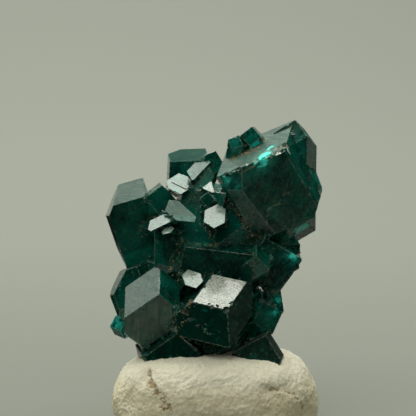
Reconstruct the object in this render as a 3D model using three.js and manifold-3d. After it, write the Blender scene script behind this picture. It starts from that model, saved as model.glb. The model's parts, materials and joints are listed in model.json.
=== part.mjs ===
// A dioptase specimen: a cluster of emerald-green crystals, grown together into one piece, that
// stands in a lump of white mineral putty. Millimetres, +Z up. The origin is on the putty's flat
// underside, under the middle of the specimen, which is looked at along +Y.
import * as THREE from 'three';
import { ConvexGeometry } from 'three/addons/geometries/ConvexGeometry.js';
import { mergeVertices } from 'three/addons/utils/BufferGeometryUtils.js';
import Module from 'manifold-3d';

// Dioptase grows as a six-sided prism with a cap of three rhombs at each end.
// CAP_LEAN is the angle between a rhomb's normal and the long axis, in degrees.
const CAP_LEAN = 50.9;
const CAP_FACES = 3;
const PRISM_FACES = 6;

// The putty lump, pressed flat under the specimen. PUTTY_PROFILE runs from the middle of the
// underside to the middle of the top: the share of the half width or half depth, and the height.
const PUTTY_WIDTH = 25.2;
const PUTTY_DEPTH = 24;
const PUTTY_MIDDLE = [0.7, -1];
const PUTTY_SQUARENESS = 2.4;
const PUTTY_SEGMENTS = 72;
const PUTTY_PROFILE = [
  [0, 0], [0.4, 0], [0.84, 0], [0.93, 0.8], [0.98, 2.4], [1, 4.2], [0.99, 5.6], [0.955, 6.9],
  [0.9, 8.1], [0.83, 8.9], [0.74, 9.5], [0.62, 9.8], [0.45, 10], [0.2, 10], [0, 10],
];
// Pits, finger dents, the ends of a crack and one low swelling: the middle of each, its reach and
// its depth.
const PUTTY_DENTS = [
  { at: [-7.4, -9.6, 8.3], reach: 1, depth: 0.8 },
  { at: [-5.9, -11.2, 6], reach: 1.3, depth: 0.5 },
  { at: [7.4, -10.4, 7.2], reach: 0.9, depth: 0.5 },
  { at: [9.4, -8.8, 6.8], reach: 0.9, depth: 0.5 },
  { at: [11, -7, 5], reach: 1.1, depth: 0.4 },
  { at: [1, -12.8, 2.6], reach: 2.6, depth: 0.5 },
  { at: [-11.4, 2, 6.5], reach: 2.4, depth: 0.7 },
  { at: [4, 9.4, 5.5], reach: 3, depth: 0.7 },
  { at: [-10, -3, 9], reach: 2.4, depth: 0.35 },
  { at: [-3.5, -9.5, 9.6], reach: 4, depth: -0.5 },
];
// The clearance round the crystals, where they go into the putty.
const SOCKET_GAP = 0.3;

// The crystals. tip is where the three cap rhombs meet. bearing and rise are the way that the tip
// points, in degrees from +X towards +Y and above the horizontal, and spin turns the crystal about
// its axis. sides are the distances of the six prism faces from the axis through the tip, and length
// is how far down the axis the other end lies. cuts are broken faces: their normals and a point.
const CRYSTALS = {
  // The largest crystal, upper right, with the one behind it and the two small ones on its top face.
  crown: {
    tip: [9.3, -4.2, 35.6], bearing: -79, rise: 36, spin: 37,
    sides: [6.8, 6.4, 8, 6.2, 9.2, 7.2], length: 15,
    cuts: [
      { bearing: -103, rise: -12, at: [4.3, -2.5, 30.5] },
      { bearing: -103, rise: -16, at: [7.2, -2, 26.5] },
      { bearing: 2, rise: 20, at: [13.3, 0.6, 33.4] },
    ],
  },
  crownBack: { tip: [11, 3, 38.9], bearing: -90, rise: 84, spin: 30, sides: 2.4, length: 16 },
  crownBead: { tip: [5.7, -0.6, 37.9], bearing: -95, rise: 62, spin: 52, sides: 1.25, length: 3.5 },
  crownSeed: { tip: [3.3, -1.4, 36.5], bearing: -75, rise: 63, spin: 17, sides: 0.8, length: 7 },
  // Upper left, and the crystals behind it.
  shoulder: {
    tip: [-7.8, 2.1, 29.3], bearing: -55, rise: 37, spin: 26,
    sides: [3.2, 4.6, 6.6, 7.2, 5, 5.2], length: 14,
    cuts: [
      { bearing: -172, rise: -12, at: [-11.9, 2.7, 24.7] },
      { bearing: -176, rise: 21, at: [-12.1, 4, 28.2] },
    ],
  },
  wedge: { tip: [-6.2, 2, 30.8], bearing: -72, rise: 56, spin: 48, sides: 1.7, length: 7 },
  backPost: {
    tip: [-4.9, 6.6, 33.3], bearing: -127, rise: 27, spin: -9,
    sides: [3.7, 2.4, 3, 3, 3, 4.4], length: 8,
  },
  backRidge: {
    tip: [1, 7, 34.7], bearing: -16, rise: 66, spin: 116,
    sides: [2, 1.3, 1.6, 1.6, 1.3, 2], length: 12,
  },
  window: {
    tip: [-3.4, 0.8, 29.5], bearing: -87, rise: 7, spin: 2,
    sides: [2.8, 1.7, -0.1, -0.1, 1.5, 3.4], length: 5.5,
  },
  strip: {
    tip: [-2, 1.5, 31.3], bearing: -111, rise: 12, spin: -15,
    sides: [3.5, 1.6, 0, -0.1, 0.1, 2.6], length: 6,
  },
  backSlope: {
    tip: [0.2, 5, 32.8], bearing: 11, rise: 62, spin: 74,
    sides: [2.6, 1.2, 2, 2, 1.2, 2.6], length: 8,
  },
  // The middle.
  triangle: {
    tip: [0.7, -1.5, 30], bearing: -83, rise: 6, spin: 4,
    sides: [1.3, 1.2, 0, -0.1, 0.1, 1.4], length: 5,
  },
  hexagon: {
    tip: [0.7, -6.6, 26.2], bearing: -92, rise: 8, spin: -2,
    sides: [2.6, 1.3, 0, 0, 1.3, 2.8], length: 7.5,
  },
  hexagonSide: { tip: [0, -1.8, 30.2], bearing: -96, rise: 62, spin: 53, sides: 1, length: 5 },
  inner: {
    tip: [1.9, 0.5, 30.7], bearing: -130, rise: 47, spin: -31,
    sides: [5, 3, 4, 3, 3, 4.4], length: 9,
  },
  ledge: {
    tip: [-1.5, -4.5, 26.6], bearing: -60, rise: 9, spin: 18,
    sides: [3.4, 1.7, -0.1, -0.1, 0.8, 2.9], length: 6.5,
  },
  patch: {
    tip: [-7, -5.4, 25.7], bearing: -97, rise: 6, spin: -2,
    sides: [1.3, 0.4, 0, 0, 2.3, 2.5], length: 7,
  },
  patchlet: {
    tip: [-5.5, -5.1, 25.3], bearing: -105, rise: 12, spin: -10,
    sides: [0.9, 0.3, 0, 0, 0.8, 1.3], length: 5,
  },
  lintel: {
    tip: [-2.9, -4.5, 23.7], bearing: -128, rise: 34, spin: 105,
    sides: [4.1, 3.6, 7.4, 6.6, 6, 2.8], length: 14,
  },
  bevel: {
    tip: [5.9, -5.5, 22.6], bearing: -86, rise: 27, spin: 55,
    sides: [1.6, 2, 1.8, 1.8, 2, 1.6], length: 7,
  },
  table: {
    tip: [2.3, -11.7, 17], bearing: -73, rise: 10, spin: 12,
    sides: [3.3, 5, 4, 4, 5, 4.3], length: 14.7,
  },
  tile: {
    tip: [-1.4, -8.4, 19], bearing: -80, rise: 8, spin: 8,
    sides: [2.2, 1.1, -0.1, -0.1, 1.2, 2.1], length: 6,
  },
  // Lower left.
  cheek: {
    tip: [-5.9, -9, 18.5], bearing: -87, rise: 23, spin: 58,
    sides: [4.1, 5.2, 3.8, 2.6, 3.4, 4], length: 12,
  },
  chock: {
    tip: [-6.5, -3.7, 21.2], bearing: -147, rise: 36, spin: -70,
    sides: [1.2, 0.5, 1, 1, 0.5, 1.2], length: 5,
  },
  flank: {
    tip: [-9, 1.2, 20.5], bearing: -90, rise: 48, spin: 25, sides: 3.4, length: 10,
    cuts: [{ bearing: -170, rise: 25, at: [-11.2, 0.9, 17.8] }],
  },
  teal: {
    tip: [-11.6, -1.4, 14.6], bearing: -136, rise: 56, spin: -19,
    sides: [3.4, 1.1, 1.1, 1.1, 1.1, 3.4], length: 3.7,
  },
  // Right side.
  spurHigh: { tip: [11.6, 0.4, 22.4], bearing: -31, rise: 26, spin: 8, sides: 2.4, length: 10 },
  spurMiddle: { tip: [9.1, -1.1, 17.8], bearing: -19, rise: 43, spin: 114, sides: 2, length: 9 },
  spurLow: { tip: [9.3, -2.3, 15.2], bearing: -22, rise: 14, spin: 98, sides: 2.2, length: 9 },
  under: { tip: [7, -2.4, 24.5], bearing: -98, rise: 44, spin: 78, sides: 4, length: 9 },
  // The foot, which stands in the putty.
  foot: {
    tip: [-3.6, -7.5, 13.6], bearing: -84, rise: 42, spin: 53, sides: [5, 4, 4, 4, 4, 5], length: 9,
  },
  footSide: { tip: [-6.9, -4.6, 12.6], bearing: -98, rise: 43, spin: 40, sides: 2, length: 7 },
  keel: {
    tip: [6.4, -6.9, 13.1], bearing: -75, rise: 57, spin: 33,
    sides: [3.4, 3, 3.4, 2.6, 3, 3.4], length: 8.4,
  },
  // The back.
  rearCrown: {
    tip: [7.4, 7.6, 33.4], bearing: 62, rise: 36, spin: 10,
    sides: [3.8, 3.4, 3.6, 4.2, 3.6, 3.8], length: 9,
  },
  rearShoulder: {
    tip: [-8, 7.8, 27], bearing: 128, rise: 24, spin: 40,
    sides: [3.2, 3.4, 3.2, 3.4, 3, 3.2], length: 8,
  },
  rearMiddle: {
    tip: [-0.6, 9.6, 28], bearing: 96, rise: 14, spin: 25,
    sides: [4, 4.4, 4.6, 4.2, 4.4, 4], length: 12,
  },
  rearRight: {
    tip: [10.6, 6.2, 26], bearing: 28, rise: 18, spin: 70,
    sides: [3.2, 3.6, 3.2, 3.4, 3.2, 3.4], length: 8,
  },
  rearLow: {
    tip: [4.6, 8.4, 20], bearing: 70, rise: 8, spin: 50,
    sides: [4.2, 3.6, 3.8, 4, 3.6, 4.2], length: 11,
  },
  rearFlank: {
    tip: [-8.8, 6, 19], bearing: 148, rise: 12, spin: 15,
    sides: [3.2, 3.6, 3.4, 3.2, 3.6, 3.4], length: 10,
  },
  rearFoot: {
    tip: [-3, 7.8, 14.4], bearing: 108, rise: 22, spin: 80,
    sides: [3.6, 4, 3.6, 3.6, 4, 3.6], length: 9,
  },
  rearKeel: {
    tip: [6.6, 5.2, 15], bearing: 36, rise: 24, spin: 30,
    sides: [3, 3.4, 3.2, 3.2, 3.4, 3], length: 9,
  },
  rearSeed: { tip: [1.6, 9.6, 23.4], bearing: 80, rise: 34, spin: 35, sides: 1.3, length: 5 },
  rearBead: { tip: [-5.6, 9, 23], bearing: 118, rise: 2, spin: 75, sides: 1.5, length: 6 },
  sideHigh: {
    tip: [12.2, 1.2, 28], bearing: 8, rise: 24, spin: 44,
    sides: [2.4, 2.8, 2.6, 2.7, 2.8, 2.6], length: 7,
  },
  sideSeed: { tip: [10.4, 3.4, 20.2], bearing: 12, rise: 6, spin: 20, sides: 1.4, length: 6 },
  sideLow: {
    tip: [-9.9, 1.4, 14.9], bearing: 172, rise: 24, spin: 62,
    sides: [2.4, 2.8, 2.6, 2.4, 2.8, 2.6], length: 8,
  },
  // The crystal in the middle, which the rest grew on.
  middle: {
    tip: [-0.3, 2.6, 30], bearing: 90, rise: 86, spin: 0,
    sides: [5.4, 6.4, 5.4, 5.4, 6.4, 5.5], length: 25,
  },
};

const radians = THREE.MathUtils.degToRad;

/** The direction of a crystal's long axis and the two directions across it. */
function crystalAxes({ bearing, rise, spin }) {
  const turn = radians(bearing);
  const lift = radians(rise);
  const [out, up] = [Math.cos(lift), Math.sin(lift)];
  const along = new THREE.Vector3(Math.cos(turn) * out, Math.sin(turn) * out, up);
  const uphill = new THREE.Vector3(-Math.cos(turn) * up, -Math.sin(turn) * up, out);
  uphill.applyAxisAngle(along, radians(spin));
  return { along, across: uphill, beside: along.clone().cross(uphill) };
}

/** A unit normal at an angle round the long axis and an angle away from it, both in degrees. */
function faceNormal(axes, round, lean) {
  return axes.across.clone().multiplyScalar(Math.cos(radians(round)) * Math.sin(radians(lean)))
    .addScaledVector(axes.beside, Math.sin(radians(round)) * Math.sin(radians(lean)))
    .addScaledVector(axes.along, Math.cos(radians(lean)));
}

/** The planes that bound a crystal, each pushed out by grow mm. */
function crystalPlanes(crystal, grow) {
  const axes = crystalAxes(crystal);
  const tip = new THREE.Vector3(...crystal.tip);
  const foot = tip.clone().addScaledVector(axes.along, -crystal.length);
  const sides = [crystal.sides].flat();
  const planes = [];
  const add = (normal, point, distance) => {
    planes.push({ normal, offset: normal.dot(point) + distance + grow });
  };
  for (let k = 0; k < CAP_FACES; k++) {
    add(faceNormal(axes, 120 * k, CAP_LEAN), tip, 0);
    add(faceNormal(axes, 60 + 120 * k, 180 - CAP_LEAN), foot, 0);
  }
  for (let k = 0; k < PRISM_FACES; k++) {
    add(faceNormal(axes, 30 + 60 * k, 90), tip, sides[k % sides.length]);
  }
  for (const cut of crystal.cuts ?? []) {
    add(crystalAxes({ ...cut, spin: 0 }).along, new THREE.Vector3(...cut.at), 0);
  }
  return planes;
}

/** The corners of the convex body inside a set of planes. */
function planeCorners(planes) {
  const corners = [];
  const matrix = new THREE.Matrix3();
  for (let i = 0; i < planes.length; i++) {
    for (let j = i + 1; j < planes.length; j++) {
      for (let k = j + 1; k < planes.length; k++) {
        const [a, b, c] = [planes[i].normal, planes[j].normal, planes[k].normal];
        matrix.set(a.x, a.y, a.z, b.x, b.y, b.z, c.x, c.y, c.z);
        if (Math.abs(matrix.determinant()) < 1e-4) continue;
        const corner = new THREE.Vector3(planes[i].offset, planes[j].offset, planes[k].offset);
        corner.applyMatrix3(matrix.invert());
        const inside = planes.every(({ normal, offset }) => normal.dot(corner) < offset + 1e-6);
        const known = corners.some((other) => other.distanceTo(corner) < 1e-4);
        if (inside && !known) corners.push(corner);
      }
    }
  }
  return corners;
}

const wasm = await Module();
wasm.setup();

/** A closed geometry as a solid for cutting and joining. */
function toSolid(geometry) {
  geometry.deleteAttribute('normal');
  geometry.deleteAttribute('uv');
  const merged = mergeVertices(geometry, 1e-5);
  return new wasm.Manifold(new wasm.Mesh({
    numProp: 3,
    vertProperties: new Float32Array(merged.attributes.position.array),
    triVerts: new Uint32Array(merged.index.array),
  }));
}

/** A solid's surface as a geometry with flat faces. */
function toGeometry(solid) {
  const { vertProperties, triVerts } = solid.getMesh();
  const geometry = new THREE.BufferGeometry();
  geometry.setAttribute('position', new THREE.BufferAttribute(vertProperties, 3));
  geometry.setIndex(new THREE.BufferAttribute(triVerts, 1));
  return geometry;
}

/** All the crystals joined in one solid, with their faces pushed out by grow mm. */
function clusterSolid(grow) {
  return Object.values(CRYSTALS)
    .map((crystal) => toSolid(new ConvexGeometry(planeCorners(crystalPlanes(crystal, grow)))))
    .reduce((whole, solid) => whole.add(solid));
}

/** The point of the putty's surface at an angle round it (radians) and a step of its profile. */
function puttyPoint(angle, share, height) {
  const rise = Math.min(1, height / 2);
  const swell = 1 + rise * (0.02 * Math.sin(2 * angle + 0.6) + 0.018 * Math.sin(3 * angle + 2)
    + 0.012 * Math.sin(5 * angle + height * 0.7) + 0.006 * Math.sin(9 * angle - height));
  const squared = (value) => Math.sign(value) * Math.abs(value) ** (2 / PUTTY_SQUARENESS);
  const point = new THREE.Vector3(
    PUTTY_MIDDLE[0] + squared(Math.cos(angle)) * share * swell * PUTTY_WIDTH / 2,
    PUTTY_MIDDLE[1] + squared(Math.sin(angle)) * share * swell * PUTTY_DEPTH / 2,
    height * (1 + 0.08 * Math.sin(angle + 2.97) * share + 0.012 * Math.sin(7 * angle) * share * share),
  );
  if (height === 0) return point;
  const inward = new THREE.Vector3(PUTTY_MIDDLE[0], PUTTY_MIDDLE[1], 5).sub(point).normalize();
  for (const { at, reach, depth } of PUTTY_DENTS) {
    const away = point.distanceTo(new THREE.Vector3(...at)) / reach;
    point.addScaledVector(inward, depth * Math.exp(-away * away));
  }
  return point;
}

/** The whole lump, before the crystals are pressed into it. */
function puttyLump() {
  const positions = [];
  const triangles = [];
  const rings = PUTTY_PROFILE.slice(1, -1);
  const ringStart = (ring) => 1 + ring * PUTTY_SEGMENTS;
  positions.push(...puttyPoint(0, ...PUTTY_PROFILE[0]));
  for (const [share, height] of rings) {
    for (let i = 0; i < PUTTY_SEGMENTS; i++) {
      positions.push(...puttyPoint((2 * Math.PI * i) / PUTTY_SEGMENTS, share, height));
    }
  }
  positions.push(...puttyPoint(0, ...PUTTY_PROFILE.at(-1)));
  const last = positions.length / 3 - 1;
  for (let i = 0; i < PUTTY_SEGMENTS; i++) {
    const next = (i + 1) % PUTTY_SEGMENTS;
    triangles.push(0, ringStart(0) + next, ringStart(0) + i);
    for (let ring = 0; ring + 1 < rings.length; ring++) {
      const [low, high] = [ringStart(ring), ringStart(ring + 1)];
      triangles.push(low + i, low + next, high + next, low + i, high + next, high + i);
    }
    triangles.push(ringStart(rings.length - 1) + i, ringStart(rings.length - 1) + next, last);
  }
  const geometry = new THREE.BufferGeometry();
  geometry.setAttribute('position', new THREE.Float32BufferAttribute(positions, 3));
  geometry.setIndex(triangles);
  return geometry;
}

const crystalMesh = new THREE.Mesh(
  toGeometry(clusterSolid(0)),
  new THREE.MeshStandardMaterial({ color: 0x05382c, roughness: 0.12, metalness: 0 }),
);
crystalMesh.name = 'dioptase_crystals';

const puttyMesh = new THREE.Mesh(
  toGeometry(toSolid(puttyLump()).subtract(clusterSolid(SOCKET_GAP))),
  new THREE.MeshStandardMaterial({ color: 0xe3dcc6, roughness: 0.85, metalness: 0 }),
);
puttyMesh.name = 'mounting_putty';

const specimen = new THREE.Group();
specimen.add(crystalMesh, puttyMesh);
export default specimen;
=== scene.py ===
"""A dioptase specimen in its lump of white mineral putty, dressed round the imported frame.

Lengths inside the classes are in millimetres. A finished mesh is brought to metres once, when
it becomes a piece, so that every piece's object stays at the origin, unturned and unscaled.
"""

import json
import logging
import math
from collections.abc import Callable, Iterable, Iterator, Sequence
from dataclasses import dataclass, replace
from enum import Enum
from itertools import combinations
from typing import Any, TypeAlias

import bmesh
import bpy
import numpy as np
from bpy.types import Collection, Material, Mesh, Node, NodeSocket, NodeTree, Object
from mathutils import Matrix, Vector, kdtree, noise
from mathutils.bvhtree import BVHTree

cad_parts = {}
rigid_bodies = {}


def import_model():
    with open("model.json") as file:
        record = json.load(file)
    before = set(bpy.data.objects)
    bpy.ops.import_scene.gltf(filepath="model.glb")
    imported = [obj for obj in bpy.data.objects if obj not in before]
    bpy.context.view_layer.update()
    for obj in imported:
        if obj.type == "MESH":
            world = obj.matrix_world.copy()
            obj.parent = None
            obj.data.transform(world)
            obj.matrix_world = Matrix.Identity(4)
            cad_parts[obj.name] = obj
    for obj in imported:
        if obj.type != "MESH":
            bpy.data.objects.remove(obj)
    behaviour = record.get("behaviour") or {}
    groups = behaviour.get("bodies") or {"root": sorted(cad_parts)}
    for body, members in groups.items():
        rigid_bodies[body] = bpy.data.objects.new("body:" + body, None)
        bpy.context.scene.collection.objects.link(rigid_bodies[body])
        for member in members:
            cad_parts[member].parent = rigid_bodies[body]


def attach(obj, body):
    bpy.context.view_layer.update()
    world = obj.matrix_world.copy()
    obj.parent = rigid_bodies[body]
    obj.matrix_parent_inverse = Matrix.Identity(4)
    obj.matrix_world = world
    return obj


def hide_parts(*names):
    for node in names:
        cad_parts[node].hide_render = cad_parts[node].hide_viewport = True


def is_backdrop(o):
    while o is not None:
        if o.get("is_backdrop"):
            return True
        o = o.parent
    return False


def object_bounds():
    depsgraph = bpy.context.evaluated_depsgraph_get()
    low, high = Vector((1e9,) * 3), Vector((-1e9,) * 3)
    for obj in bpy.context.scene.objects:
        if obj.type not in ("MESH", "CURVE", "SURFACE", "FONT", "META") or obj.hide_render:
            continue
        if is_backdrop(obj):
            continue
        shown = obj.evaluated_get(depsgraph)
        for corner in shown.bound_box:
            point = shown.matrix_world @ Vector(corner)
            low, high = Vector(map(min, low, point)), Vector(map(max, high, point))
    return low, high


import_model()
CAD_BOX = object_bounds()

LOG = logging.getLogger("dioptase_specimen")
METRE = 0.001
Point = tuple[float, float, float]
Colour = tuple[float, float, float, float]
Number: TypeAlias = "Value | float"
Shade: TypeAlias = Colour | NodeSocket

# Dioptase grows as a six-sided prism with a cap of three rhombs at each end. CAP_LEAN is the
# angle in degrees between a rhomb's normal and the long axis.
CAP_LEAN = 50.9
CAP_FACES = 3
PRISM_FACES = 6

# In millimetres: how near two points count as one, what rounding may do, and the least volume
# of a solid that is kept.
NEAR = 1e-3
ROUNDING = 1e-6
LEAST_VOLUME = 1e-4

# The way that the photograph looks, in degrees, and how far before or behind a line counts.
SIGHT = (-90, 6)
SIGHT_DEPTH = 1.5

SMOOTH = {"interpolation_type": "SMOOTHSTEP"}
BLOCKS = {"voronoi_dimensions": "2D", "distance": "CHEBYCHEV"}


class Slot(Enum):
    """The record's material slots."""

    DIOPTASE = "dioptase"
    PUTTY = "putty"


class Face(Enum):
    """The kinds of face on a crystal, with the number that marks each in the mesh."""

    PRISM = 0.0
    CAP = 1.0
    BROKEN = 2.0


class Work(Enum):
    """What the workbench does with solids."""

    FUSE = "UNION"
    CUT = "DIFFERENCE"


# Node trees


def operator(operation: str, swapped: bool = False) -> Callable[["Value", Number], "Value"]:
    """Makes a Python operator that adds a Math node.

    Args:
        operation: The Math node's operation.
        swapped: Whether the other number comes first.

    Returns:
        The operator.
    """

    def combined(value: "Value", other: Number) -> "Value":
        """The two numbers put together."""
        return value.graph.math(operation, *((other, value) if swapped else (value, other)))

    return combined


class Value:
    """A number in a node tree, which takes part in Python sums."""

    def __init__(self, graph: "Graph", socket: NodeSocket) -> None:
        """Wraps one output socket of a tree."""
        self.graph, self.socket = graph, socket

    __add__ = __radd__ = operator("ADD")
    __sub__, __rsub__ = operator("SUBTRACT"), operator("SUBTRACT", swapped=True)
    __mul__ = __rmul__ = operator("MULTIPLY")
    most = operator("MAXIMUM")

    def step(self, low: float, high: float) -> "Value":
        """A smooth step: 0 at low and 1 at high, which may be the smaller of the two."""
        sockets = {"Value": self, "From Min": low, "From Max": high}
        return self.graph.value("ShaderNodeMapRange", SMOOTH, sockets, "Result")


class Graph:
    """A node tree, with one method that adds any node and a few short ways to common ones."""

    def __init__(self, tree: NodeTree) -> None:
        """Starts from an empty tree."""
        self.tree = tree
        tree.nodes.clear()

    def add(
        self, kind: str, settings: dict[str, Any] | None = None,
        inputs: dict[str | int, Any] | None = None,
    ) -> Node:
        """Adds a node.

        Args:
            kind: The node's type.
            settings: Its settings, which are set first.
            inputs: Values or links for its sockets, by name or number. Another node stands
                for its first output.

        Returns:
            The node.
        """
        node = self.tree.nodes.new(kind)
        for name, setting in (settings or {}).items():
            setattr(node, name, setting)
        for name, given in (inputs or {}).items():
            if isinstance(given, Node):
                given = given.outputs[0]
            elif isinstance(given, Value):
                given = given.socket
            if isinstance(given, NodeSocket):
                self.tree.links.new(given, node.inputs[name])
            else:
                node.inputs[name].default_value = given
        return node

    def value(
        self, kind: str, settings: dict[str, Any], inputs: dict[str | int, Any],
        output: str | int = 0,
    ) -> Value:
        """Adds a node and gives one of its outputs as a number."""
        return Value(self, self.add(kind, settings, inputs).outputs[output])

    def math(self, operation: str, *terms: Number) -> Value:
        """Adds a Math node and gives its result."""
        return self.value("ShaderNodeMath", {"operation": operation}, dict(enumerate(terms)))

    def attribute(self, name: str) -> Value:
        """A number stored in the mesh."""
        return self.value("ShaderNodeAttribute", {"attribute_name": name}, {}, "Fac")

    def place(self) -> NodeSocket:
        """The piece's own Object coordinates, in metres."""
        return self.add("ShaderNodeTexCoord").outputs["Object"]

    def along(self, axis: str) -> Value:
        """One of the Object coordinates, in metres."""
        return self.value("ShaderNodeSeparateXYZ", {}, {0: self.place()}, axis)

    def noise(
        self, scale: float, detail: float = 3.0, vector: NodeSocket | None = None,
        stretch: Point = (1.0, 1.0, 1.0), distortion: float = 0.0,
    ) -> Value:
        """Soft random blotches.

        Args:
            scale: How many blotches there are to a millimetre.
            detail: How many finer layers there are.
            vector: The coordinates, or none for the piece's own Object coordinates.
            stretch: How much denser the pattern is along each coordinate.
            distortion: How far the blotches are bent.

        Returns:
            The pattern, from 0 to 1.
        """
        flow = self.stretched(vector, stretch)
        sockets = {"Vector": flow, "Scale": scale, "Detail": detail, "Distortion": distortion}
        return self.value("ShaderNodeTexNoise", {}, sockets, "Fac")

    def cells(self, scale: float) -> Value:
        """How far away the nearest of scattered points is, with so many to a millimetre."""
        sockets = {"Vector": self.stretched(None), "Scale": scale}
        return self.value("ShaderNodeTexVoronoi", {}, sockets, "Distance")

    def blocks(self, scale: float, flow: NodeSocket) -> Value:
        """Square-cornered blocks along the flow, each with a value of its own from 0 to 1."""
        sockets = {"Vector": flow, "Scale": scale}
        return self.value("ShaderNodeTexVoronoi", BLOCKS, sockets, "Color")

    def stretched(
        self, vector: NodeSocket | None, stretch: Point = (1.0, 1.0, 1.0)
    ) -> NodeSocket:
        """Multiplies coordinates in millimetres by a number along each axis.

        Args:
            vector: The coordinates, or none for the piece's own Object coordinates.
            stretch: The numbers.

        Returns:
            The product's socket.
        """
        factor = stretch
        if vector is None:
            vector = self.place()
            factor = tuple(s / METRE for s in stretch)
        product = {0: vector, 1: factor}
        return self.add("ShaderNodeVectorMath", {"operation": "MULTIPLY"}, product).outputs[0]

    def painted(self, colour: Shade, *coats: tuple[Value, Colour]) -> NodeSocket:
        """Lays coats of colour over another colour.

        Args:
            colour: The colour underneath.
            coats: How much of each coat shows, from 0 to 1, and its colour.

        Returns:
            The resulting colour's socket.
        """
        for amount, coat in coats:
            sockets = {"Factor": amount, 6: colour, 7: coat}
            colour = self.add("ShaderNodeMix", {"data_type": "RGBA"}, sockets).outputs[2]
        return colour

    def relief(self, *layers: tuple[Value, float, float]) -> NodeSocket:
        """Lays layers of fine relief over the surface.

        Args:
            layers: Each layer's height from 0 to 1, its depth in millimetres, and how much of
                it shows.

        Returns:
            The normal's socket.
        """
        under: dict[str, NodeSocket] = {}
        for height, depth, strength in layers:
            sockets = {"Height": height, "Distance": depth * METRE, "Strength": strength} | under
            under = {"Normal": self.add("ShaderNodeBump", {}, sockets).outputs["Normal"]}
        return under["Normal"]

    def principled(self, colour: Shade, rough: Number, more: dict[str, Any]) -> Node:
        """A surface with a colour, a roughness and the sockets that are given besides."""
        sockets = {"Base Color": colour, "Roughness": rough} | more
        return self.add("ShaderNodeBsdfPrincipled", {}, sockets)

    def blended(self, factor: Value, first: Node, second: Node) -> Node:
        """A surface between two others: the first where the factor is 0, the second at 1."""
        return self.add("ShaderNodeMixShader", {}, {0: factor, 1: first, 2: second})


# Meshes


def unit(vector: np.ndarray) -> np.ndarray:
    """A vector of length 1 that points the same way."""
    return vector / np.linalg.norm(vector)


def heading(bearing: float, rise: float) -> np.ndarray:
    """A direction from two angles.

    Args:
        bearing: Degrees from +X towards +Y.
        rise: Degrees above the horizontal.

    Returns:
        The direction, of length 1.
    """
    turn, lift = math.radians(bearing), math.radians(rise)
    out = math.cos(lift)
    return np.array([math.cos(turn) * out, math.sin(turn) * out, math.sin(lift)])


def roughness_at(points: np.ndarray, scale: float, octaves: int, seed: float) -> np.ndarray:
    """Soft random relief at points, from about -1 to 1, with so many bumps to a millimetre."""
    shift = Vector((seed, 2.3 * seed, -1.7 * seed))
    return np.array([noise.fractal(Vector(p) * scale + shift, 0.6, 2.1, octaves) for p in points])


def distance_to_line(points: np.ndarray, line: np.ndarray) -> np.ndarray:
    """The distance of each point from a line of straight stretches.

    Args:
        points: The points, one row each.
        line: The line's own points, one row each.

    Returns:
        One distance for each point.
    """
    nearest = np.full(len(points), np.inf)
    for start, end in zip(line[:-1], line[1:], strict=True):
        run = end - start
        share = np.clip(((points - start) @ run) / (run @ run), 0, 1)
        away = np.linalg.norm(points - start - share[:, None] * run, axis=1)
        nearest = np.minimum(nearest, away)
    return nearest


def front_distance(
    points: np.ndarray, lines: Sequence[Sequence[Point]], farthest: float = 9.0
) -> np.ndarray:
    """How far each point lies from the nearest of several lines, seen from the front.

    Args:
        points: The points, one row each.
        lines: The lines, each a row of points.
        farthest: What is given where every line lies well before or behind the point.

    Returns:
        One distance for each point.
    """
    sight = heading(*SIGHT)
    nearest = np.full(len(points), farthest)
    level = points - np.outer(points @ sight, sight)
    for line in lines:
        places = np.array(line)
        flat = distance_to_line(level, places - np.outer(places @ sight, sight))
        close = distance_to_line(points, places) < SIGHT_DEPTH
        nearest = np.where(close, np.minimum(nearest, flat), nearest)
    return nearest


def vertex_places(mesh: Mesh) -> np.ndarray:
    """The places of a mesh's vertices, one row each."""
    return np.array([vertex.co for vertex in mesh.vertices], float)


def store_numbers(mesh: Mesh, name: str, numbers: np.ndarray) -> None:
    """Stores one number for each vertex of a mesh under a name."""
    layer = mesh.attributes.get(name) or mesh.attributes.new(name, "FLOAT", "POINT")
    layer.data.foreach_set("value", numbers.astype(np.float32))


def stored_numbers(mesh: Mesh, name: str) -> np.ndarray:
    """The numbers stored in a mesh under a name."""
    return np.array([item.value for item in mesh.attributes[name].data], float)


def face_layers(bm: bmesh.types.BMesh, *names: str) -> dict[str, bmesh.types.BMLayerItem]:
    """Makes room for numbers on the faces, each under a name."""
    return {name: bm.faces.layers.float.new(name) for name in names}


def opened(mesh: Mesh) -> bmesh.types.BMesh:
    """Opens a mesh for editing.

    Args:
        mesh: The mesh, which stays as it is.

    Returns:
        Its corners, edges and faces.
    """
    bm = bmesh.new()
    bm.from_mesh(mesh)
    return bm


def closed(bm: bmesh.types.BMesh, name: str) -> Mesh:
    """Puts edited faces in a mesh of their own, and lets go of them.

    Args:
        bm: The corners, edges and faces.
        name: The mesh's name.

    Returns:
        The mesh.
    """
    mesh = bpy.data.meshes.new(name)
    bm.to_mesh(mesh)
    bm.free()
    return mesh


def patched(name: str, verts: Sequence[Sequence[float]], faces: Sequence[Sequence[int]]) -> Mesh:
    """Makes a mesh from its corners and faces.

    Args:
        name: The mesh's name.
        verts: The places of its corners.
        faces: The numbers of each face's corners.

    Returns:
        The mesh.
    """
    mesh = bpy.data.meshes.new(name)
    mesh.from_pydata(verts, [], faces)
    return mesh


def shown(name: str, data: bpy.types.ID) -> Object:
    """Adds an object to the scene, at the origin.

    Args:
        name: The object's name.
        data: Its mesh, light or camera.

    Returns:
        The object.
    """
    added = bpy.data.objects.new(name, data)
    bpy.context.scene.collection.objects.link(added)
    return added


def gathered(name: str, meshes: Iterable[Mesh]) -> Collection:
    """Makes a collection with an object for each mesh.

    Args:
        name: The collection's name.
        meshes: The meshes.

    Returns:
        The collection.
    """
    group = bpy.data.collections.new(name)
    for mesh in meshes:
        group.objects.link(bpy.data.objects.new(mesh.name, mesh))
    return group


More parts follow.
